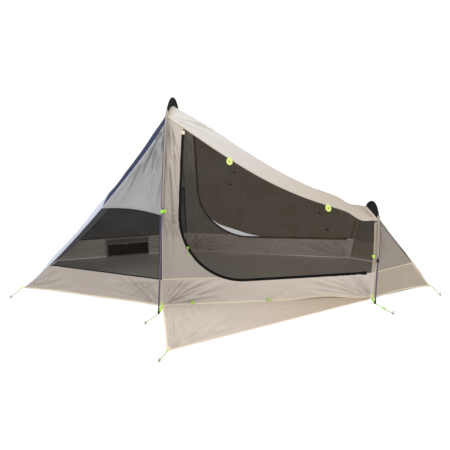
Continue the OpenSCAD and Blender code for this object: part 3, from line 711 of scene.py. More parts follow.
for side, s in SIDES.items():
    for key, (a, b, cad, body) in GUYS.items():
        a, b = flip(a, s), flip(b, s)
        path = guy_path(a, b)
        ride_on = body if body == "tent" else f"porch_{side}"
        cord = tube(f"guy_{key}_{side}", path, 0.0021, cord_lime)
        put(cord, ride_on, cad if body == "tent" else f"porch_guy_{side}")
        base, away = peg_place(a, b)
        turn_round = np.linspace(0, 2 * math.pi, 20)
        ring = base + np.stack([0.0048 * np.cos(turn_round), 0.0048 * np.sin(turn_round), 0.0065
                + 0.0012 * np.sin(turn_round)], -1)
        eye = tube(f"guy_eye_{key}_{side}", ring, 0.0013, cord_lime, 8)
        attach(eye, ride_on)
        knot_at = b - away * 0.006
        coil = np.linspace(0, 6 * math.pi, 40)
        wide = np.cross(away, [0, 0, 1])
        knot = np.array([knot_at + away * (-0.004 + 0.008 * i / 39)
                         + 0.0026 * (math.cos(c) * wide + math.sin(c) * np.array([0, 0,
                                 1.0])) for i, c in enumerate(coil)])
        tie = tube(f"guy_knot_{key}_{side}", knot, 0.0012, cord_lime, 7)
        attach(tie, ride_on)
        stem = lathe(f"peg_{key}_{side}", [(0.0026, 0), (0.0026, 0.011), (0.0021, 0.0125), (0.0021, 0.0145),
                (0.0046, 0.0155),
                     (0.0056, 0.017), (0.0054, 0.019), (0.0040, 0.0199), (0.0012, 0.0201)], base, (0, 0,
                             1), peg_metal, 20)
        put(stem, cad="ground_pegs")

TIE_U = {"tall": 0.28, "short": 0.745}
for side, s in SIDES.items():
    for key, u in TIE_U.items():
        top = roof_edge(u) + [0.004, 0.026, -0.018]
        t = np.linspace(0, 1, 22)[:, None]
        path = top + t * [0, 0, -0.146] + np.sin(math.pi * t) * np.sin(2.4 * math.pi * t) * [0.0022, 0.0012, 0]
        path = flip(path, s)
        cord = tube(f"tieback_cord_{key}_{side}", path, 0.0012, cord_dark)
        end = path[-1]
        barrel = lathe(f"tieback_barrel_{key}_{side}", [(0.0014, 0), (0.0036, 0.0008), (0.0043, 0.0026),
                (0.0038, 0.007), (0.0038, 0.015),
                       (0.0043, 0.0194), (0.0036, 0.0212), (0.0012, 0.022)], end + [-0.0108, 0,
                               0.002], unit([1, 0, -0.22]), black_plastic, 18)
        lead = roof_edge(u) + [0.002, 0.004, -0.004]
        hook = tube(f"tieback_anchor_{key}_{side}", flip(spline([lead, lead + [0.001, 0.010, -0.003], top
                + [0, -0.004, 0.004], top], 10), s),
                    0.0014, cord_dark, 8)
        put(hook)
        for piece in (cord, barrel):
            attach(piece, f"tieback_{key}_{side}")
        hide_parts(f"tieback_{key}_{side}")

# ---------------------------------------------------------------- canopy
APEX = (TALL_X, TALL_SEAM)


def side_panel(name, s, low, high, m, mat, fold=None, replaces=(), body="tent", depth=0.0012, seed=1,
               surface=None, towards=(0, -1, 0.3)):
    p, P = patch(surface or side_at, low, high, m)
    push = crumple(p[..., 0], p[..., 1], seed, depth, 0.11)
    if fold is not None:
        push = push + fold(p[..., 0], p[..., 1])
    push = push * edge_mask(P)
    return cloth(name, flip(P, s), mat, flip(towards, s), push, replaces=replaces, body=body)


def side_share(s, near, far):
    """The far side's hems lie lower than the near side's."""
    return near if s > 0 else far


def hem_head(t, s):
    return side_share(s, 0.010, 0.001) * hump(t) * (0.7 + 0.3 * np.sin(9 * t))


def hem_mid(x, t, s):
    return (0.020 * np.exp(-((x - 0.62) / 0.16) ** 2) + 0.006 * hump(t)) * side_share(s, 1, 0.1)


def hem_foot(t, s):
    return side_share(s, 0.012, 0.001) * hump(t)


def head_xz(A, B):
    """Position along and up the head part, for folds, from its own parameters."""
    return mix(head_edge(B)[..., 0], TALL_X, A), B


for side, s in SIDES.items():
    q = 10 if s > 0 else 40
    # Stile between the tall leg and the zip, up to the roof seam.
    n = 150
    f = np.linspace(0, 1, n)
    zip_seam = float(roof_edge((ZIP_X - TALL_X) / (lean_x(1.03) - TALL_X))[2])
    z_zip = mix(SKIRT, zip_seam, f)
    z_leg = mix(SKIRT, TALL_SEAM, f)
    inset = 0.001
    drop = np.clip(ZIP_CZ - z_zip, 0, ZIP_R)
    x_zip = np.where(z_zip < ZIP_CZ, ZIP_CX - np.sqrt(np.maximum((ZIP_R + inset) ** 2 - drop ** 2, 0)), ZIP_X - inset)

    def stile_fold(x, z):
        return folds(x, z, q + 1, (APEX, (-101, -72), 12, 0.0120, 0.011, 1.05),
                     ((TALL_X, 0.56), (-80, -20), 6, 0.0075, 0.014, 0.4),
                     ((ZIP_X, ZIP_TOP), (-130, -95), 3, 0.002, 0.01, 0.35))
    side_panel(f"stile_cloth_{side}", s, points(TALL_X, z_leg), points(x_zip, z_zip), 44, stile_cloth,
               stile_fold, [f"stile_{side}"], seed=q + 4, depth=0.0010)
    # Door: one sheet from the roof seam down to the zip, which bends where the flap folds back.
    n, m = 150, 66
    gap = 0.001
    low = zip_even(n, gap, -0.995, 1.985)
    low[-1, 0] = TALL_X + SHORT_STILE_U * (lean_x(low[-1, 1]) - TALL_X)
    if s < 0:
        d = np.linspace(0, 1, n)
        low = low + np.stack([0.012 * np.exp(-((d - 0.47) / 0.07) ** 2),
                0.042 * np.exp(-((d - 0.525) / 0.085) ** 2)], -1)
    uu = mix(0.078, 0.9785, np.linspace(0, 1, n) ** 0.92)
    high = roof_edge(uu)[:, [0, 2]]

    def net_fold(x, z):
        return (folds(x, z, q + 5, ((ZIP_X, ZIP_TOP), (-80, -30), 6, 0.0035, 0.022, 1.2),
                      ((ZIP_END, ZIP_Z), (120, 172), 6, 0.0035, 0.02, 0.9))
                - 0.010 * np.exp(-(((x - 0.20) / 0.42) ** 2 + ((z - 0.42) / 0.24) ** 2)))
    p, P = patch(side_at, low, high, m)
    push = (crumple(p[..., 0], p[..., 1], q + 7, 0.0022, 0.22) + net_fold(p[..., 0], p[..., 1])) * edge_mask(P, 0.05)
    door = cloth(f"door_net_{side}", flip(P, s), door_net if s > 0 else far_door_net, (0, -s, 0.3), push, body=None,
                 replaces=[f"door_mesh_{side}", f"door_flap_{side}"])
    a, b = side_at(ZIP_X, ZIP_TOP), side_at(ZIP_END, ZIP_Z)
    chord = unit(b - a)
    out = side_out(np.array([0.3, 0.5]))
    down = unit(np.cross(chord, out))
    down = down if down[2] < 0 else -down
    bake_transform(door)
    # Narrow stile beside the short leg.
    n = 40
    zz = np.linspace(SKIRT, 0.425, n)
    x0 = TALL_X + SHORT_STILE_U * (lean_x(zz) - TALL_X)
    side_panel(f"foot_stile_{side}", s, points(x0, zz), points(lean_x(zz),
            mix(SKIRT, SHORT_SEAM, np.linspace(0, 1, n))), 8, skirt_foot_cloth,
               None, [f"short_stile_{side}"], seed=q + 8, depth=0.0006)
    # Head part: solid panel above the window, the window, and the skirt below.
    n = 110
    ss = np.linspace(0, 1, n)
    arc = 0.524 + 0.019 * hump(ss)

    def head_fold(A, B):
        x, z = head_xz(A, B)
        return (creases(x, z, APEX, (-139, -93), 26, 0.0105, 0.009, 0.80, q + 9) * smooth((z - 0.50) / 0.10)
                + creases(x, z, (-0.80, 0.53), (5, 60), 4, 0.0022, 0.014, 0.35, q + 10))
    side_panel(f"head_cloth_{side}", s, points(ss, arc), points(ss, HEAD_PANEL_TOP), 90, canopy_painted_shade, head_fold,
               [f"head_panel_{side}"], seed=q + 11, surface=head_at, depth=0.0012, towards=(-0.4, -1, 0.3))

    def window_fold(A, B):
        x, z = head_xz(A, B)
        return folds(x, z, q + 12, ((TALL_X, 0.54), (185, 235), 5, 0.0025, 0.02, 0.7),
                     ((-1.14, SKIRT), (10, 50), 4, 0.002, 0.02, 0.5))
    side_panel(f"head_window_net_{side}", s, points(ss, SKIRT), points(ss, arc), 46,
               window_net if s > 0 else far_window_net, window_fold,
               [f"head_window_{side}"], seed=q + 14, surface=head_at, depth=0.0015, towards=(-0.4, -1,
                       0.3))
    # Skirt in three lengths, one piece of cloth each.
    hem = 0.004 + hem_head(ss, s)

    def skirt_head_fold(A, B):
        x, z = head_xz(A, B)
        return folds(x, z, q + 15, ((TALL_X, 0.0), (118, 176), 9, 0.0110, 0.014, 0.55),
                     ((HEAD_X, 0.0), (4, 42), 8, 0.0095, 0.014, 0.5),
                     ((TALL_X, SKIRT), (182, 215), 4, 0.008, 0.015, 0.45))
    side_panel(f"skirt_head_{side}", s, points(ss, hem), points(ss, SKIRT), 34, skirt_cloth, skirt_head_fold,
               [f"skirt_{side}"], seed=q + 18, surface=head_at, depth=0.0018, towards=(-0.4, -1, 0.3))
    n = 170
    xs = np.linspace(TALL_X, SHORT_X, n)
    ss = np.linspace(0, 1, n)
    zip_straight = ZIP_Z + ZIP_RISE * np.clip((xs - ZIP_CX) / (ZIP_END - ZIP_CX), 0, 1)
    zip_corner = ZIP_CZ - np.sqrt(np.maximum(ZIP_R ** 2 - (xs - ZIP_CX) ** 2, 0))
    zip_low = np.where(xs > ZIP_CX, zip_straight, zip_corner)
    top_z = np.minimum(SKIRT, np.where(xs > ZIP_X, zip_low - 0.001, SKIRT))
    top_z = np.where(xs > ZIP_END - 0.012, np.minimum(SKIRT, ZIP_Z + ZIP_RISE - 0.001 + (xs - ZIP_END + 0.012)),
                     top_z)
    hem = 0.003 + hem_mid(xs, ss, s)

    def skirt_mid_fold(x, z):
        return folds(x, z, q + 19, ((TALL_X, 0.0), (6, 62), 9, 0.0130, 0.014, 0.5),
                     ((SHORT_X, 0.0), (120, 174), 10, 0.0130, 0.013, 0.55),
                     ((0.30, 0.0), (20, 160), 7, 0.0035, 0.015, 0.25),
                     ((-0.17, 0.0), (20, 160), 5, 0.003, 0.014, 0.2))
    side_panel(f"skirt_mid_{side}", s, points(xs, hem), points(mix(TALL_X, lean_x(SKIRT), ss), top_z), 34,
               skirt_cloth, skirt_mid_fold,
               [f"skirt_{side}"], seed=q + 23, depth=0.0018)
    n = 70
    ss = np.linspace(0, 1, n)
    hem = 0.003 + hem_foot(ss, s)

    def foot_fold(A, B):
        return folds(A * 0.41, B, q + 24, ((0.0, 0.0), (15, 70), 5, 0.004, 0.014, 0.3),
                     ((0.41, 0.0), (125, 172), 6, 0.004, 0.014, 0.35))
    side_panel(f"skirt_foot_{side}", s, points(ss, hem), points(ss, SKIRT), 34, skirt_foot_cloth, foot_fold,
               [f"skirt_{side}"], seed=q + 26, surface=foot_at, depth=0.0016, towards=(0.4, -1, 0.3))

    def foot_panel_fold(A, B):
        return creases(A * 0.3, B, (0.02, 0.44), (-85, -40), 6, 0.0030, 0.012, 0.33, q + 27)
    side_panel(f"foot_cloth_{side}", s, points(ss, SKIRT), points(ss, FOOT_PANEL_TOP), 50, canopy_painted_shadow,
               foot_panel_fold,
               [f"foot_panel_{side}"], seed=q + 28, surface=foot_at, depth=0.0010, towards=(0.4, -1, 0.3))

# Roof, one crowned sheet over the ridge.
n, m = 190, 95
U, K = np.meshgrid(np.linspace(0.0, 0.998, n), np.linspace(-1, 1, m), indexing="ij")
P = roof_at(U, K)
along = P[..., 0]
across = P[..., 1] * 1.15
push = crumple(along * 0.35, across, 71, 0.0012, 0.07)
for corner, s in ((1, 1), (-1, -1)):
    push = push + creases(along, -across * s, (TALL_X, 0.30), (-62, -4), 9, 0.0045, 0.012, 0.75, 72 + s)
    push = push + creases(along, -across * s, (SHORT_X + 0.06, 0.26), (184, 236), 7, 0.0035, 0.012, 0.5, 75 + s)
push *= edge_mask(P, 0.03)
cloth("roof_cloth", P, canopy, (0, 0, 1), push, replaces=["roof_panel"])

# End walls.
n, m = 90, 60
Z, K = np.meshgrid(np.linspace(0.004, WINDOW, n), np.linspace(-1, 1, m), indexing="ij")
P = head_wall(Z, K)
push = (crumple(Z, P[..., 1], 80, 0.0022, 0.16) + creases(P[..., 1], Z, (0.0, 0.9), (-115, -65), 8, 0.004, 0.02,
        0.9, 81)) * edge_mask(P)
cloth("head_wall_cloth", P, canopy_painted_skylight, (-1, 0, 0.6), push, replaces=["head_wall_lower"])
Z, K = np.meshgrid(np.linspace(WINDOW, 1.058, n), np.linspace(-1, 1, m), indexing="ij")
P = head_wall(Z, K)
push = crumple(Z, P[..., 1], 82, 0.0020, 0.18) * edge_mask(P)
cloth("head_wall_net", P, end_net, (-1, 0, 0.6), push, replaces=["head_wall_upper"])
n, m = 50, 44
Z, K = np.meshgrid(np.linspace(0.004, SKIRT, 28), np.linspace(-1, 1, m), indexing="ij")
P = foot_wall(Z, K)
cloth("foot_wall_cloth", P, canopy, (1, 0, 0.4), crumple(Z, P[..., 1], 83, 0.002, 0.12) * edge_mask(P),
      replaces=["foot_wall_lower"])
Z, K = np.meshgrid(np.linspace(SKIRT, 0.430, n), np.linspace(-1, 1, m), indexing="ij")
P = foot_wall(Z, K)
cloth("foot_wall_net", P, window_net, (1, 0, 0.4), crumple(Z, P[..., 1], 84, 0.0016, 0.15) * edge_mask(P),
      replaces=["foot_wall_upper"])

# Floor sheet, lying on the ground with a few soft rises.
n, m = 120, 60
X, K = np.meshgrid(np.linspace(HEAD_X + 0.014, FOOT_X - 0.014, n), np.linspace(-1, 1, m), indexing="ij")
half = np.interp(X, [HEAD_X + 0.014, TALL_X, SHORT_X, FOOT_X - 0.014], [0.332, 0.661, 0.474, 0.199])
P = np.stack([X, K * half, np.full(X.shape, 0.003)], -1)
push = np.clip(crumple(X, P[..., 1], 90, 0.0016, 0.16) + 0.0012, -0.0005, 0.006) * edge_mask(P, 0.05)
cloth("floor_cloth_sheet", P, floor_cloth, (0, 0, 1), push, replaces=["floor_sheet"])

# Porch flaps on the ground, with their hems.
for side, s in SIDES.items():
    n, m = 110, 80
    inner = line((-0.350, -0.679), (0.886, -0.495), n)
    tip = np.array([-0.231, -1.329])
    f = np.linspace(0, 1, n)[:, None]
    outer = np.where(f < 0.12, mix(np.array([-0.344, -0.688]), tip, f / 0.12),
                     mix(tip, np.array([0.883, -0.500]), (f - 0.12) / 0.88))
    outer[0], outer[-1] = (-0.3495, -0.683), (0.8855, -0.499)
    p = mix(inner[:, None], outer[:, None], np.linspace(0, 1, m)[None, :, None])
    A, B = p[..., 0], p[..., 1]
    rise = (0.0075 if s > 0 else 0.001) * (1 - np.linspace(0, 1, m)[None, :]) ** 3 * (1
            + 1.0 * np.exp(-((A - 0.62) / 0.15) ** 2))
    P = np.dstack([A, B, 0.0035 + rise])
    push = (creases(A, B, tip, (38, 98), 14, 0.0150, 0.020, 1.0, 100 + s)
            + creases(A, B, (-0.17, -0.70), (230, 300), 4, 0.005, 0.02, 0.3, 102 + s)
            + creases(A, B, (0.30, -0.60), (200, 270), 4, 0.005, 0.02, 0.3, 104 + s) + crumple(A, B, 106 + s,
                    0.0022, 0.13))
    push = np.maximum(push, -0.002) * edge_mask(P, 0.03) * smooth(np.abs(B - inner[:, None, 1]) / 0.12 + 0.15)
    body = f"porch_{side}"
    cloth(f"porch_cloth_{side}", flip(P, s), porch_cloth, (0, 0, 1), push, body=body,
          replaces=[f"porch_{side}"])
    for k, (a, b) in enumerate((((-0.3495, -0.684), tip), (tip, (0.8855, -0.499)))):
        path = np.hstack([line(a, b, 40), np.full((40, 1), 0.0040)])
        hem = ribbon(f"porch_hem_{k}_{side}", flip(path, s), (0, 0, 1), 0.012, 0.0010, hem_tape)
        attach(hem, body)
    corner = np.array([tip[0], tip[1], 0.004])
    pull = unit([-0.232 + 0.20, -1.332 + 1.20, 0])
    patch_out = [(-0.002, -0.010), (0.004, -0.014), (0.040, -0.030), (0.052, 0.0), (0.040, 0.028), (0.004, 0.014),
                 (-0.002, 0.010)]
    place = basis(flip(corner + [0, 0, 0.0012], s), unit([0.30, 0.95 * s, 0]), unit([0.95, -0.30 * s, 0]))
    corner_patch = slab(f"porch_corner_{side}", patch_out, 0.0014, place, hem_tape, 0.0005)
    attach(corner_patch, body)
    loop = spline([(-0.236, -1.322, 0.006), (-0.239, -1.334, 0.006), (-0.232, -1.338, 0.006),
                   (-0.226, -1.333, 0.006), (-0.226, -1.322, 0.006)], 18)
    ring = ribbon(f"porch_loop_{side}", flip(loop, s), (0, 0, 1), 0.005, 0.0012, lime_web)
    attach(ring, body)

# ---------------------------------------------------------------- seams, hems and piping
for side, s in SIDES.items():
    def seam(name, path, out, width, mat, thick=0.0008, slot="canopy", body="tent"):
        o = ribbon(f"{name}_{side}", flip(path, s), flip(out, s), width, thick, mat, 0.0003)
        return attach(o, body)

    def piping(name, path, r, mat=black_plastic, body="tent"):
        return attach(tube(f"{name}_{side}", flip(path, s), r, mat, 8), body)

    u = np.linspace(0.0, 0.999, 90)
    e = roof_edge(u)
    seam("roof_seam", e, side_out(e[:, [0, 2]]) * 0.7 + [0, 0, 0.3], 0.008, seam_tape, 0.0011)
    z = np.linspace(0.006, 0.54, 50)
    seam("tall_seam_low", tall_leg(z), (-0.15, -1, 0.25), 0.008, seam_tape, 0.0010)
    z = np.linspace(0.54, TALL_SEAM, 50)
    seam("tall_seam", tall_leg(z), (-0.15, -1, 0.25), 0.009, edge_tape, 0.0010)
    z = np.linspace(0.006, SHORT_SEAM, 50)
    seam("short_seam", short_leg(z), (0.15, -1, 0.3), 0.008, seam_tape, 0.0009)
    t = np.linspace(0, 1, 70)
    k = np.full(70, SKIRT)
    seam("skirt_seam_head", head_at(t, k), (-0.3, -1, 0.2), 0.006, black_tape, 0.0008, "zip")
    seam("skirt_seam_foot", foot_at(t, k), (0.3, -1, 0.2), 0.006, hem_tape)
    xs = np.linspace(TALL_X, -0.035, 30)
    seam("skirt_seam_stile", side_at(xs, np.full(30, SKIRT)), (0, -1, 0.2), 0.006, hem_tape)
    seam("hem_head", head_at(t, 0.006 + hem_head(t, s)), (-0.3, -1, 0.1), 0.010, hem_tape)
    xs = np.linspace(TALL_X, SHORT_X, 120)
    rise = 0.006 + hem_mid(xs, np.linspace(0, 1, 120), s)
    seam("hem_mid", side_at(xs, rise), (0, -1, 0.1), 0.011, hem_tape, 0.0012)
    seam("hem_foot", foot_at(t, 0.006 + hem_foot(t, s)), (0.3, -1, 0.1), 0.010, hem_tape)
    piping("window_top_piping", head_at(t, 0.524 + 0.019 * hump(t)), 0.0030)
    piping("window_low_piping", head_at(t, np.full(70, SKIRT + 0.002)), 0.0026)
    z = np.linspace(SKIRT, 0.526, 40)
    piping("window_end_piping", head_edge(z) + [0.002, 0, 0], 0.0032)
    z = np.linspace(0.53, 1.070, 60)
    seam("head_edge_seam", head_edge(z), (-0.6, -1, 0.4), 0.008, edge_tape)
    z = np.linspace(0.006, 0.53, 60)
    seam("head_edge_low_seam", head_edge(z) - [0.003, 0, 0], (-0.8, -1, 0.4), 0.009, edge_tape)
    z = np.linspace(0.006, SKIRT, 20)
    seam("foot_edge_low_seam", foot_edge(z), (0.8, -1, 0.5), 0.008, hem_tape)
    z = np.linspace(SKIRT, 0.432, 40)
    seam("foot_edge_seam", foot_edge(z), (0.8, -1, 0.5), 0.006, brown_tape)
    z = np.linspace(SKIRT, 0.524, 40)
    piping("window_leg_piping", tall_leg(z) + [-0.004, -0.001, 0], 0.0026)
    if s > 0:
        seam("window_leg_tape", head_at(np.full(40, 0.984), z), (-0.3, -1, 0.1), 0.024, navy_tape, 0.0008)
    # Seen through the door net on the far side only: tape beside the short stile.
    if s < 0:
        seam("door_foot_tape", wall(np.full(30, SHORT_STILE_U), np.linspace(0.36, 0.93, 30)), (0, -1, 0.2), 0.010,
             black_tape)
        seam("door_foot_mark", wall(np.full(8, SHORT_STILE_U), np.linspace(0.50, 0.56, 8)), (0, -1, 0.2), 0.012,
             lime_web, 0.0014)

for name, wallf, z, mat in (("head_wall_seam", head_wall, WINDOW, edge_tape),
        ("foot_wall_seam", foot_wall, SKIRT, hem_tape)):
    k = np.linspace(-1, 1, 50)
    put(ribbon(name, wallf(np.full(50, z), k), (-1 if wallf is head_wall else 1, 0, 0.5), 0.009, 0.0009, mat))
k = np.linspace(-1, 1, 70)
for name, u, x0 in (("roof_hem_tall", 0.002, -1), ("roof_hem_short", 0.996, 1)):
    path = roof_at(np.full(70, u), k)
    put(ribbon(name, path, np.stack([np.zeros(70), np.sign(path[:, 1]) * np.abs(k) ** 2 * 0.5, np.ones(70)], -1),
               0.016, 0.0012, hem_tape))

# ---------------------------------------------------------------- zips
for side, s in SIDES.items():
    f = zip_even(260, 0.0, -1.03, 1.965)
    path, out = on_side(f), side_out(f)
    tape = ribbon(f"zip_tape_{side}", flip(path, s), flip(out, s), 0.0170, 0.0008, black_tape, 0.0004)
    put(tape, cad=f"zip_{side}")
    f = zip_even(520, 0.0, -1.02, 1.96)
    path, out = on_side(f) + side_out(f) * 0.0016, side_out(f)
    t, across, up = frames_along(path, out)
    verts, faces = [], []
    for i in range(520):
        for j, (a, b, c) in enumerate(((-1, -1, 0), (1, -1, 0), (1, 1, 0), (-1, 1, 0), (-0.5, -0.6, 1),
                (0.5, -0.6, 1), (0.5, 0.6, 1), (-0.5, 0.6, 1))):
            lean = 0.0006 * (1 if i % 2 else -1)
            verts.append(path[i] + t[i] * a * 0.0011 + across[i] * (b * 0.0022 + lean) + up[i] * (0.0013 * c))
        o = i * 8
        faces += [[o + 4, o + 5, o + 6, o + 7]] + [[o + q, o + (q + 1) % 4, o + 4 + (q + 1) % 4, o + 4
                + q] for q in range(4)]
    teeth = build(f"zip_teeth_{side}", flip(verts, s), faces, zip_black, shade=False)
    put(teeth)
    for key, t0 in (("top", -1.05), ("end", 1.962)):
        p = zip_xz(np.array([t0]))
        c, o = flip(on_side(p)[0], s), flip(side_out(p)[0], s)
        g = flip(on_side(zip_xz(np.array([t0 - 0.01])))[0], s)
        tab = slab(f"zip_stop_{key}_{side}", [(-0.012, -0.010), (0.012, -0.010), (0.012, 0.010), (-0.012, 0.010)],
                   0.0022,
                   basis(c + o * 0.0022, unit(g - c), np.cross(o,
                           unit(g - c))), hem_tape if key == "top" else black_tape, 0.0006)
        put(tab)

SLIDE_T = (209 - 180) / 90
for side, s in SIDES.items():
    p = zip_xz(np.array([SLIDE_T]))
    c, out = on_side(p)[0], side_out(p)[0]
    ahead = unit(on_side(zip_xz(np.array([SLIDE_T + 0.02])))[0] - c)
    cc, oo, aa = flip(c, s), flip(out, s), flip(ahead, s)
    shape = [(-0.0072, -0.0022), (-0.0060, -0.0030), (0.0, -0.0036), (0.0052, -0.0048), (0.0072, -0.0044),
             (0.0076, 0.0), (0.0072, 0.0044), (0.0052, 0.0048),
             (0.0, 0.0036), (-0.0060, 0.0030), (-0.0072, 0.0022)]
    plate = slab(f"slider_plate_{side}", shape, 0.0024, basis(cc + oo * 0.0056, aa, np.cross(oo, aa)), lime_plastic,
                 0.0007)
    bridge = tube(f"slider_bridge_{side}", cc + oo * 0.0066
                  + np.array([aa * math.cos(a) * 0.0042 + oo * math.sin(a) * 0.0026 for a in np.linspace(0, math.pi,
                          14)]),
                  0.0009, lime_plastic, 8)
    for piece in (plate, bridge):
        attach(piece, f"zip_slider_{side}")
    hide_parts(f"zip_slider_{side}")
    top = c + np.array([0.001, -0.0110, -0.003])
    t = np.linspace(0, 1, 18)[:, None]
    hang = top + t * [0.0015, -0.0085, -0.040] + np.sin(math.pi * t) * [0.0016, 0, 0]
    hang = flip(hang, s)
    cord = tube(f"pull_cord_{side}", hang, 0.0014, cord_lime, 10)
    down = unit(hang[-1] - hang[-2])
    grip = lathe(f"pull_grip_{side}", [(0.0012, -0.002), (0.0024, -0.001), (0.0027, 0.001), (0.0024, 0.003),
            (0.0026, 0.005), (0.0024, 0.007), (0.0027, 0.009),
                 (0.0022, 0.0105), (0.0010, 0.011)], hang[-1] - down * 0.004, down, lime_plastic, 16)
    for piece in (cord, grip):
        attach(piece, f"zip_pull_{side}")
    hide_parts(f"zip_pull_{side}")

# ---------------------------------------------------------------- tie-back loops on the roof seam
for side, s in SIDES.items():
    for key, u in TIE_U.items():
        e = roof_edge(u)
        out = side_out(e[[0, 2]])
        down = unit(side_at(e[0], e[2] - 0.02) - e)
        along = np.cross(down, out)
        t = np.linspace(0.10, 1.90, 40) * math.pi
        w, h = 0.0125, 0.0180
        sink = 0.004 if s > 0 else 0.014
        ring = np.array([e + down * (sink + h - h * math.cos(a))
                         + along * w * math.sin(a) * (0.55 + 0.45 * math.sin(a / 2)) + out * 0.0068 for a in t])
        band = ribbon(f"loop_{key}_{side}", flip(ring, s), flip(out, s), 0.0175, 0.0014, loop_web)
        put(band, cad="tieback_loops")
        place = basis(flip(e + down * sink + out * 0.0046, s), flip(along, s), flip(down, s))
        put(slab(f"loop_tab_{key}_{side}", [(-0.009, -0.006), (0.009, -0.006), (0.009, 0.006), (-0.009, 0.006)],
                 0.0045, place, loop_web, 0.0008))

# ---------------------------------------------------------------- poles and what holds the cloth to them
def arch(apex, foot, slope):
    """Where a hoop's straight leg meets its round top, the top's radius and its centre height."""
    half, tan = math.tan(math.radians(slope / 2)), math.tan(math.radians(slope))
    join = (apex / half - foot) / (1 / half - 1 / tan)
    r = (foot - join / tan) / math.sin(math.radians(slope))
    return join, r, apex - r


TALL_JOIN, TALL_R, TALL_C = arch(TALL_APEX, TALL_FOOT, TALL_SLOPE)
SHORT_JOIN, SHORT_R, SHORT_C = arch(SHORT_APEX, SHORT_FOOT, SHORT_SLOPE)


def in_tall(y, z):
    return points(TALL_X, y, z)


def in_short(y, z):
    a = math.radians(8)
    return points(SHORT_X + z * math.sin(a), y, z * math.cos(a))


def hoop_half(z, foot, slope, meet, r, c):
    """Half width of a hoop at a height in its own plane."""
    return np.where(z < meet, foot - z / math.tan(math.radians(slope)), np.sqrt(np.maximum(r ** 2 - (z - c) ** 2, 0)))


def tall_pole_y(z):
    return hoop_half(np.asarray(z, float), TALL_FOOT, TALL_SLOPE, TALL_JOIN, TALL_R, TALL_C)


def short_pole_y(z):
    return hoop_half(np.asarray(z, float), SHORT_FOOT, SHORT_SLOPE, SHORT_JOIN, SHORT_R, SHORT_C)


POLES = ["tall_arch", "short_arch", "ferrules"] + [f"{part}_{side}" for part in ("tall_upper", "tall_lower",
        "short_leg") for side in SIDES]
FINISH = {**dict.fromkeys(POLES, pole_metal), "pole_tips": black_plastic, "shock_cords": cord_lime,
          "tensioner_near": lime_plastic, "tensioner_far": lime_plastic}
for name, mat in FINISH.items():
    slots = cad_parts[name].data.materials
    slots.clear()
    slots.append(mat)

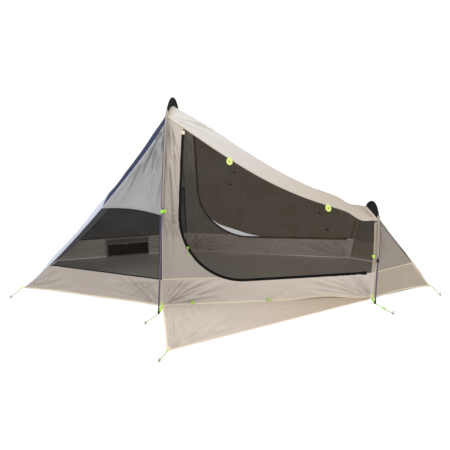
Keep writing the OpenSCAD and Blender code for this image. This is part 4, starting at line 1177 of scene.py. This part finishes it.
for side, s in SIDES.items():
    for key, place, pole_y, leg, z0, meet, cos8 in (
            ("tall", in_tall, tall_pole_y, tall_leg, 0.576, TALL_JOIN, 1.0),
            ("short", in_short, short_pole_y, short_leg, 0.249, SHORT_JOIN, SHORT_COS)):
        # Sleeve round the pole from the clip to the arch, slightly gathered.
        tall = key == "tall"
        a = np.radians(np.linspace(66, 33, 30) if tall else np.linspace(57, 26, 30))
        crown = TALL_C + TALL_R * np.cos(a) if tall else SHORT_C + SHORT_R * np.cos(a)
        zz = np.concatenate([np.linspace(z0 / cos8, meet, 60)[:-1], crown])
        zz = np.interp(np.linspace(0, 1, 90), np.linspace(0, 1, len(zz)), np.sort(zz))
        path = flip(place(-pole_y(zz), zz), s)
        gather = 1 + 0.035 * np.sin(np.arange(90) * 1.9) + 0.02 * np.sin(np.arange(90) * 0.71)
        sleeve = tube(f"sleeve_{key}_{side}", path, 0.0066, sleeve_cloth, 16, gather, (1, 0, 0.1))
        put(sleeve, cad="leg_sleeves")
        beside = np.array([-0.0056 if tall else 0.0056, -0.0052 * s, 0])
        # Dark mauve line beside the sleeve: its seam, darkened with painted shadow between sleeve and panel.
        put(tube(f"sleeve_edge_{key}_{side}", path + beside, 0.0024, sleeve_seam_and_shadow, 8))
        # Flange of cloth from the sleeve to the canopy, in the frame's plane.
        top = (TALL_SEAM if tall else SHORT_SEAM) / cos8
        zz = np.linspace(z0 / cos8, top * 0.995, 60)
        outer = place(-(pole_y(zz) - 0.0062), zz)
        inner = leg(zz * cos8) + [0, 0.002, 0]
        P = flip(mix(outer[:, None], inner[:, None], np.linspace(0, 1, 8)[None, :, None]), s)
        cloth(f"sleeve_flange_{key}_{side}", P, sleeve_cloth, (-1, 0, 0),
              crumple(P[..., 2], P[..., 1], 120 + s, 0.0012, 0.05) * edge_mask(P, 0.006))
        # Clip at the sleeve's lower end: a snap collar with a tongue of webbing.
        zc = (0.560 if tall else 0.235) / cos8 - 0.006
        at = place(-pole_y(zc), zc)
        up = unit(place(-pole_y(zc + 0.01), zc + 0.01) - at)
        at, up = flip(at, s), flip(up, s)
        collar = lathe(f"clip_collar_{key}_{side}", [(0.0052, -0.010), (0.0080, -0.0098), (0.0090, -0.0082),
                (0.0085, -0.004), (0.0091, 0.0), (0.0085, 0.004),
                       (0.0090, 0.0082), (0.0080, 0.0098), (0.0052,
                               0.010)], at, up, lime_plastic if tall else black_plastic, 28)
        put(collar, cad="leg_clips")
        target = flip(leg(np.array(zc * cos8 + 0.004)), s)
        inward = unit(target - at)
        tongue = slab(f"clip_tongue_{key}_{side}", [(0.004, -0.006), (0.016, -0.0055), (0.019, -0.003),
                (0.019, 0.003), (0.016, 0.0055), (0.004, 0.006)], 0.0034,
                      basis(at, inward, up), lime_plastic, 0.0008)
        put(tongue)
        put(ribbon(f"clip_web_{key}_{side}", line(at + inward * 0.012, target + inward * 0.006, 8), (1, 0, 0),
                   0.016, 0.001, lime_web))
        z = zc * cos8
        patch_at = side_at(TALL_X + 0.010, z) if tall else side_at(lean_x(z) - 0.022, z + 0.020)
        place_patch = basis(flip(patch_at + [0, -0.0016, 0], s), (1, 0.02, 0), (0, 0.2 * s, 1))
        put(slab(f"clip_patch_{key}_{side}", [(-0.010, -0.009), (0.010, -0.010), (0.011, 0.009), (-0.009, 0.010)],
                 0.0018, place_patch, lime_web, 0.0005))
    # Webbing from the canopy's corners to the feet of the poles, and up the corner seams.
    for key, x, y0, y1, leg in (("tall", TALL_X, 0.675, 0.794, tall_leg),
            ("short", SHORT_X, 0.488, 0.574, short_leg)):
        path = np.array([(x, -y, 0.0030 + 0.0012 * math.sin(9 * i)) for i,
                         y in enumerate(np.linspace(y0 - 0.002, y1, 24))])
        strap = ribbon(f"foot_tab_{key}_{side}", flip(path, s), (0, 0, 1), 0.015, 0.0014, lime_web)
        put(strap, cad="foot_tabs")
        z = np.linspace(0.004, 0.030, 12)
        put(ribbon(f"corner_web_{key}_{side}", flip(leg(z) + [0, -0.0012, 0], s), (0, -s, 0.2), 0.011, 0.0012,
                   loop_web))
        eye = np.linspace(0, 2 * math.pi, 28)
        ring = flip(np.array([(x + 0.0068 * math.cos(a), -(y1 + 0.003 + 0.0068 * math.sin(a)),
                0.0042) for a in eye]), s)
        put(tube(f"foot_eyelet_{key}_{side}", ring, 0.0011, peg_metal, 8))
    for key, at in (("head", (HEAD_X - 0.002, -0.347, 0.006)), ("foot", (FOOT_X + 0.002, -0.214, 0.006))):
        d = -1 if key == "head" else 1
        loop = spline([(at[0] - d * 0.010, at[1] + 0.006, 0.009), (at[0] + d * 0.001, at[1] - 0.004, 0.007),
                       (at[0] + d * 0.005, at[1] - 0.007, 0.005), (at[0] - d * 0.002, at[1] - 0.006, 0.004), (at[0]
                               - d * 0.012, at[1] + 0.001, 0.004)], 16)
        put(ribbon(f"corner_loop_{key}_{side}", flip(loop, s), (0, 0, 1), 0.007, 0.0012, lime_web))

# Black webs over the roof at both arches, sewn round the pole.
for key, place, r, c, reach, seam, edge_z, edge_y, node_name in (
        ("tall", in_tall, TALL_R, TALL_C, 34, 1.150, TALL_SEAM, 0.272, "tall_arch_cap"),
        ("short", in_short, SHORT_R, SHORT_C, 27, 0.444 / SHORT_COS, SHORT_SEAM / SHORT_COS, 0.240,
         "short_arch_cap")):
    a = np.radians(np.linspace(-reach, reach, 90))
    inner = r - 0.0052
    yo, zo = inner * np.sin(a), c + inner * np.cos(a)
    half = inner * math.sin(math.radians(reach))
    yl = np.linspace(-half, half, 90)
    zl = np.minimum(c + inner * np.cos(a) - 0.001, seam + 0.002 - (seam - edge_z) * (yl / edge_y) ** 2)
    P = mix(place(yo, zo)[:, None], place(yl, zl)[:, None], np.linspace(0, 1, 16)[None, :, None])
    cloth(f"{key}_web", P, web_cloth, (-1, 0, 0), crumple(P[..., 1], P[..., 2], 130, 0.0014, 0.05) * edge_mask(P,
            0.01), replaces=[node_name])
    wave_r = 1 + 0.03 * np.sin(np.arange(90) * 1.7)
    put(tube(f"{key}_web_sleeve", place(r * np.sin(a), c + r * np.cos(a)), 0.0064, web_cloth, 16, wave_r,
             (1, 0, 0)))

# ---------------------------------------------------------------- barrel toggles along the hem
for side, s in SIDES.items():
    for k, u in enumerate((0.14, 0.50)):
        c = wall(np.array(u), np.array(0.022 / seam_z(u))) + [0, -0.0075, 0]
        d = unit([1, 0.14, 0])
        ribs = [(0.0012, -0.0135), (0.0034, -0.0128), (0.0038, -0.010), (0.0030, -0.004), (0.0028, 0.0),
                (0.0030, 0.004), (0.0038, 0.010), (0.0034, 0.0128), (0.0012, 0.0135)]
        barrel = lathe(f"hem_barrel_{k}_{side}", ribs, flip(c, s), flip(d, s), black_plastic, 20)
        put(barrel, cad="hem_toggles")
        band = spline([c + [-0.008, 0.006, 0.004], c + [-0.006, -0.0035, 0.0015], c + [0.002, -0.0045, -0.0015], c
                       + [0.010, -0.0035, 0.001], c + [0.011, 0.006, 0.004]], 20)
        put(ribbon(f"hem_toggle_loop_{k}_{side}", flip(band, s), (0, -s, 0.2), 0.009, 0.0014, lime_web))

# Pocket inside the far wall, hung from the skirt's top seam: dark mesh in a grey frame with light bindings.
a = math.radians(20)
ax, ay, az = np.array([math.cos(a), math.sin(a), 0]), np.array([-math.sin(a), math.cos(a), 0]), np.array([0, 0, 1.0])
corner = np.array([-0.949, 0.396, 0.012])
wide, tall = 0.332, 0.144


def pocket_sheet(name, x0, x1, z0, z1, mat, lift, seed, replaces=()):
    I, J = np.meshgrid(np.linspace(x0, x1, 50), np.linspace(z0, z1, 26), indexing="ij")
    P = corner + I[..., None] * ax + J[..., None] * az - ay * lift
    belly = 0.003 * hump((I - x0) / (x1 - x0)) * hump((J - z0) / (z1 - z0)) + crumple(I, J, seed, 0.0010,
            0.04) * edge_mask(P, 0.015)
    return cloth(name, P, mat, -ay, belly, replaces=replaces)


pocket_sheet("pocket_frame", 0.0, wide, 0.0, tall, pocket_grey, 0.0005, 140, ["wall_pocket"])
pocket_sheet("pocket_net", 0.020, wide - 0.008, 0.014, tall - 0.041, pocket_net, 0.0032, 141)
for k, (p0, p1) in enumerate((((0.004, 0.0), (0.004, tall)), ((0.0, 0.003), (wide, 0.003)),
        ((wide - 0.004, 0.0), (wide - 0.004, tall)),
                              ((0.0, tall - 0.003), (wide, tall - 0.003)), ((0.016, tall - 0.041),
                                      (wide, tall - 0.041)))):
    path = np.array([corner + ax * mix(p0[0], p1[0], t) + az * mix(p0[1], p1[1], t)
                     - ay * 0.0050 for t in np.linspace(0, 1, 30)])
    put(ribbon(f"pocket_binding_{k}", path, -ay, 0.007, 0.0008, pocket_tape))

# ---------------------------------------------------------------- ground and light
me = bpy.data.meshes.new("ground")
me.from_pydata([(-30, -30, -0.0008), (30, -30, -0.0008), (30, 30, -0.0008), (-30, 30, -0.0008)], [], [(0, 1, 2, 3)])
ground = bpy.data.objects.new("ground", me)
scene.collection.objects.link(ground)
m, t = nodes_of("ground_white")
p = node(t, "BsdfPrincipled", Roughness=0.9, Base_Color=(0.15, 0.15, 0.15, 1), Specular_IOR_Level=0.1,
         Emission_Color=(1, 1, 1, 1), Emission_Strength=0.93)
me.materials.append(finish_material(m, t, p.outputs[0]))
ground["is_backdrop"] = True

world = bpy.data.worlds.new("studio")
world.use_nodes = True
t = world.node_tree
back = t.nodes["Background"]
back.inputs[0].default_value = (1, 1, 1, 1)
seen = t.nodes.new("ShaderNodeLightPath").outputs["Is Camera Ray"]
plug(t, back.inputs[1], calc(t, "MULTIPLY_ADD", seen, 0.25, 0.77))
scene.world = world


def lamp(name, place, target, size, power, colour=(1, 1, 1)):
    d = bpy.data.lights.new(name, "AREA")
    d.energy, d.size, d.color = power, size, colour
    o = bpy.data.objects.new(name, d)
    scene.collection.objects.link(o)
    o.location = place
    o.rotation_euler = (Vector(target) - Vector(place)).to_track_quat("-Z", "Y").to_euler()


lamp("over", (-0.5, 0.5, 3.4), (0, 0, 0.2), 1.6, 76)
lamp("key", (-1.6, -3.0, 2.6), (0, 0, 0.3), 1.6, 60)
lamp("fill", (3.0, -3.0, 1.8), (0.3, 0, 0.3), 1.6, 38, (1.0, 0.97, 0.93))

low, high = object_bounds()
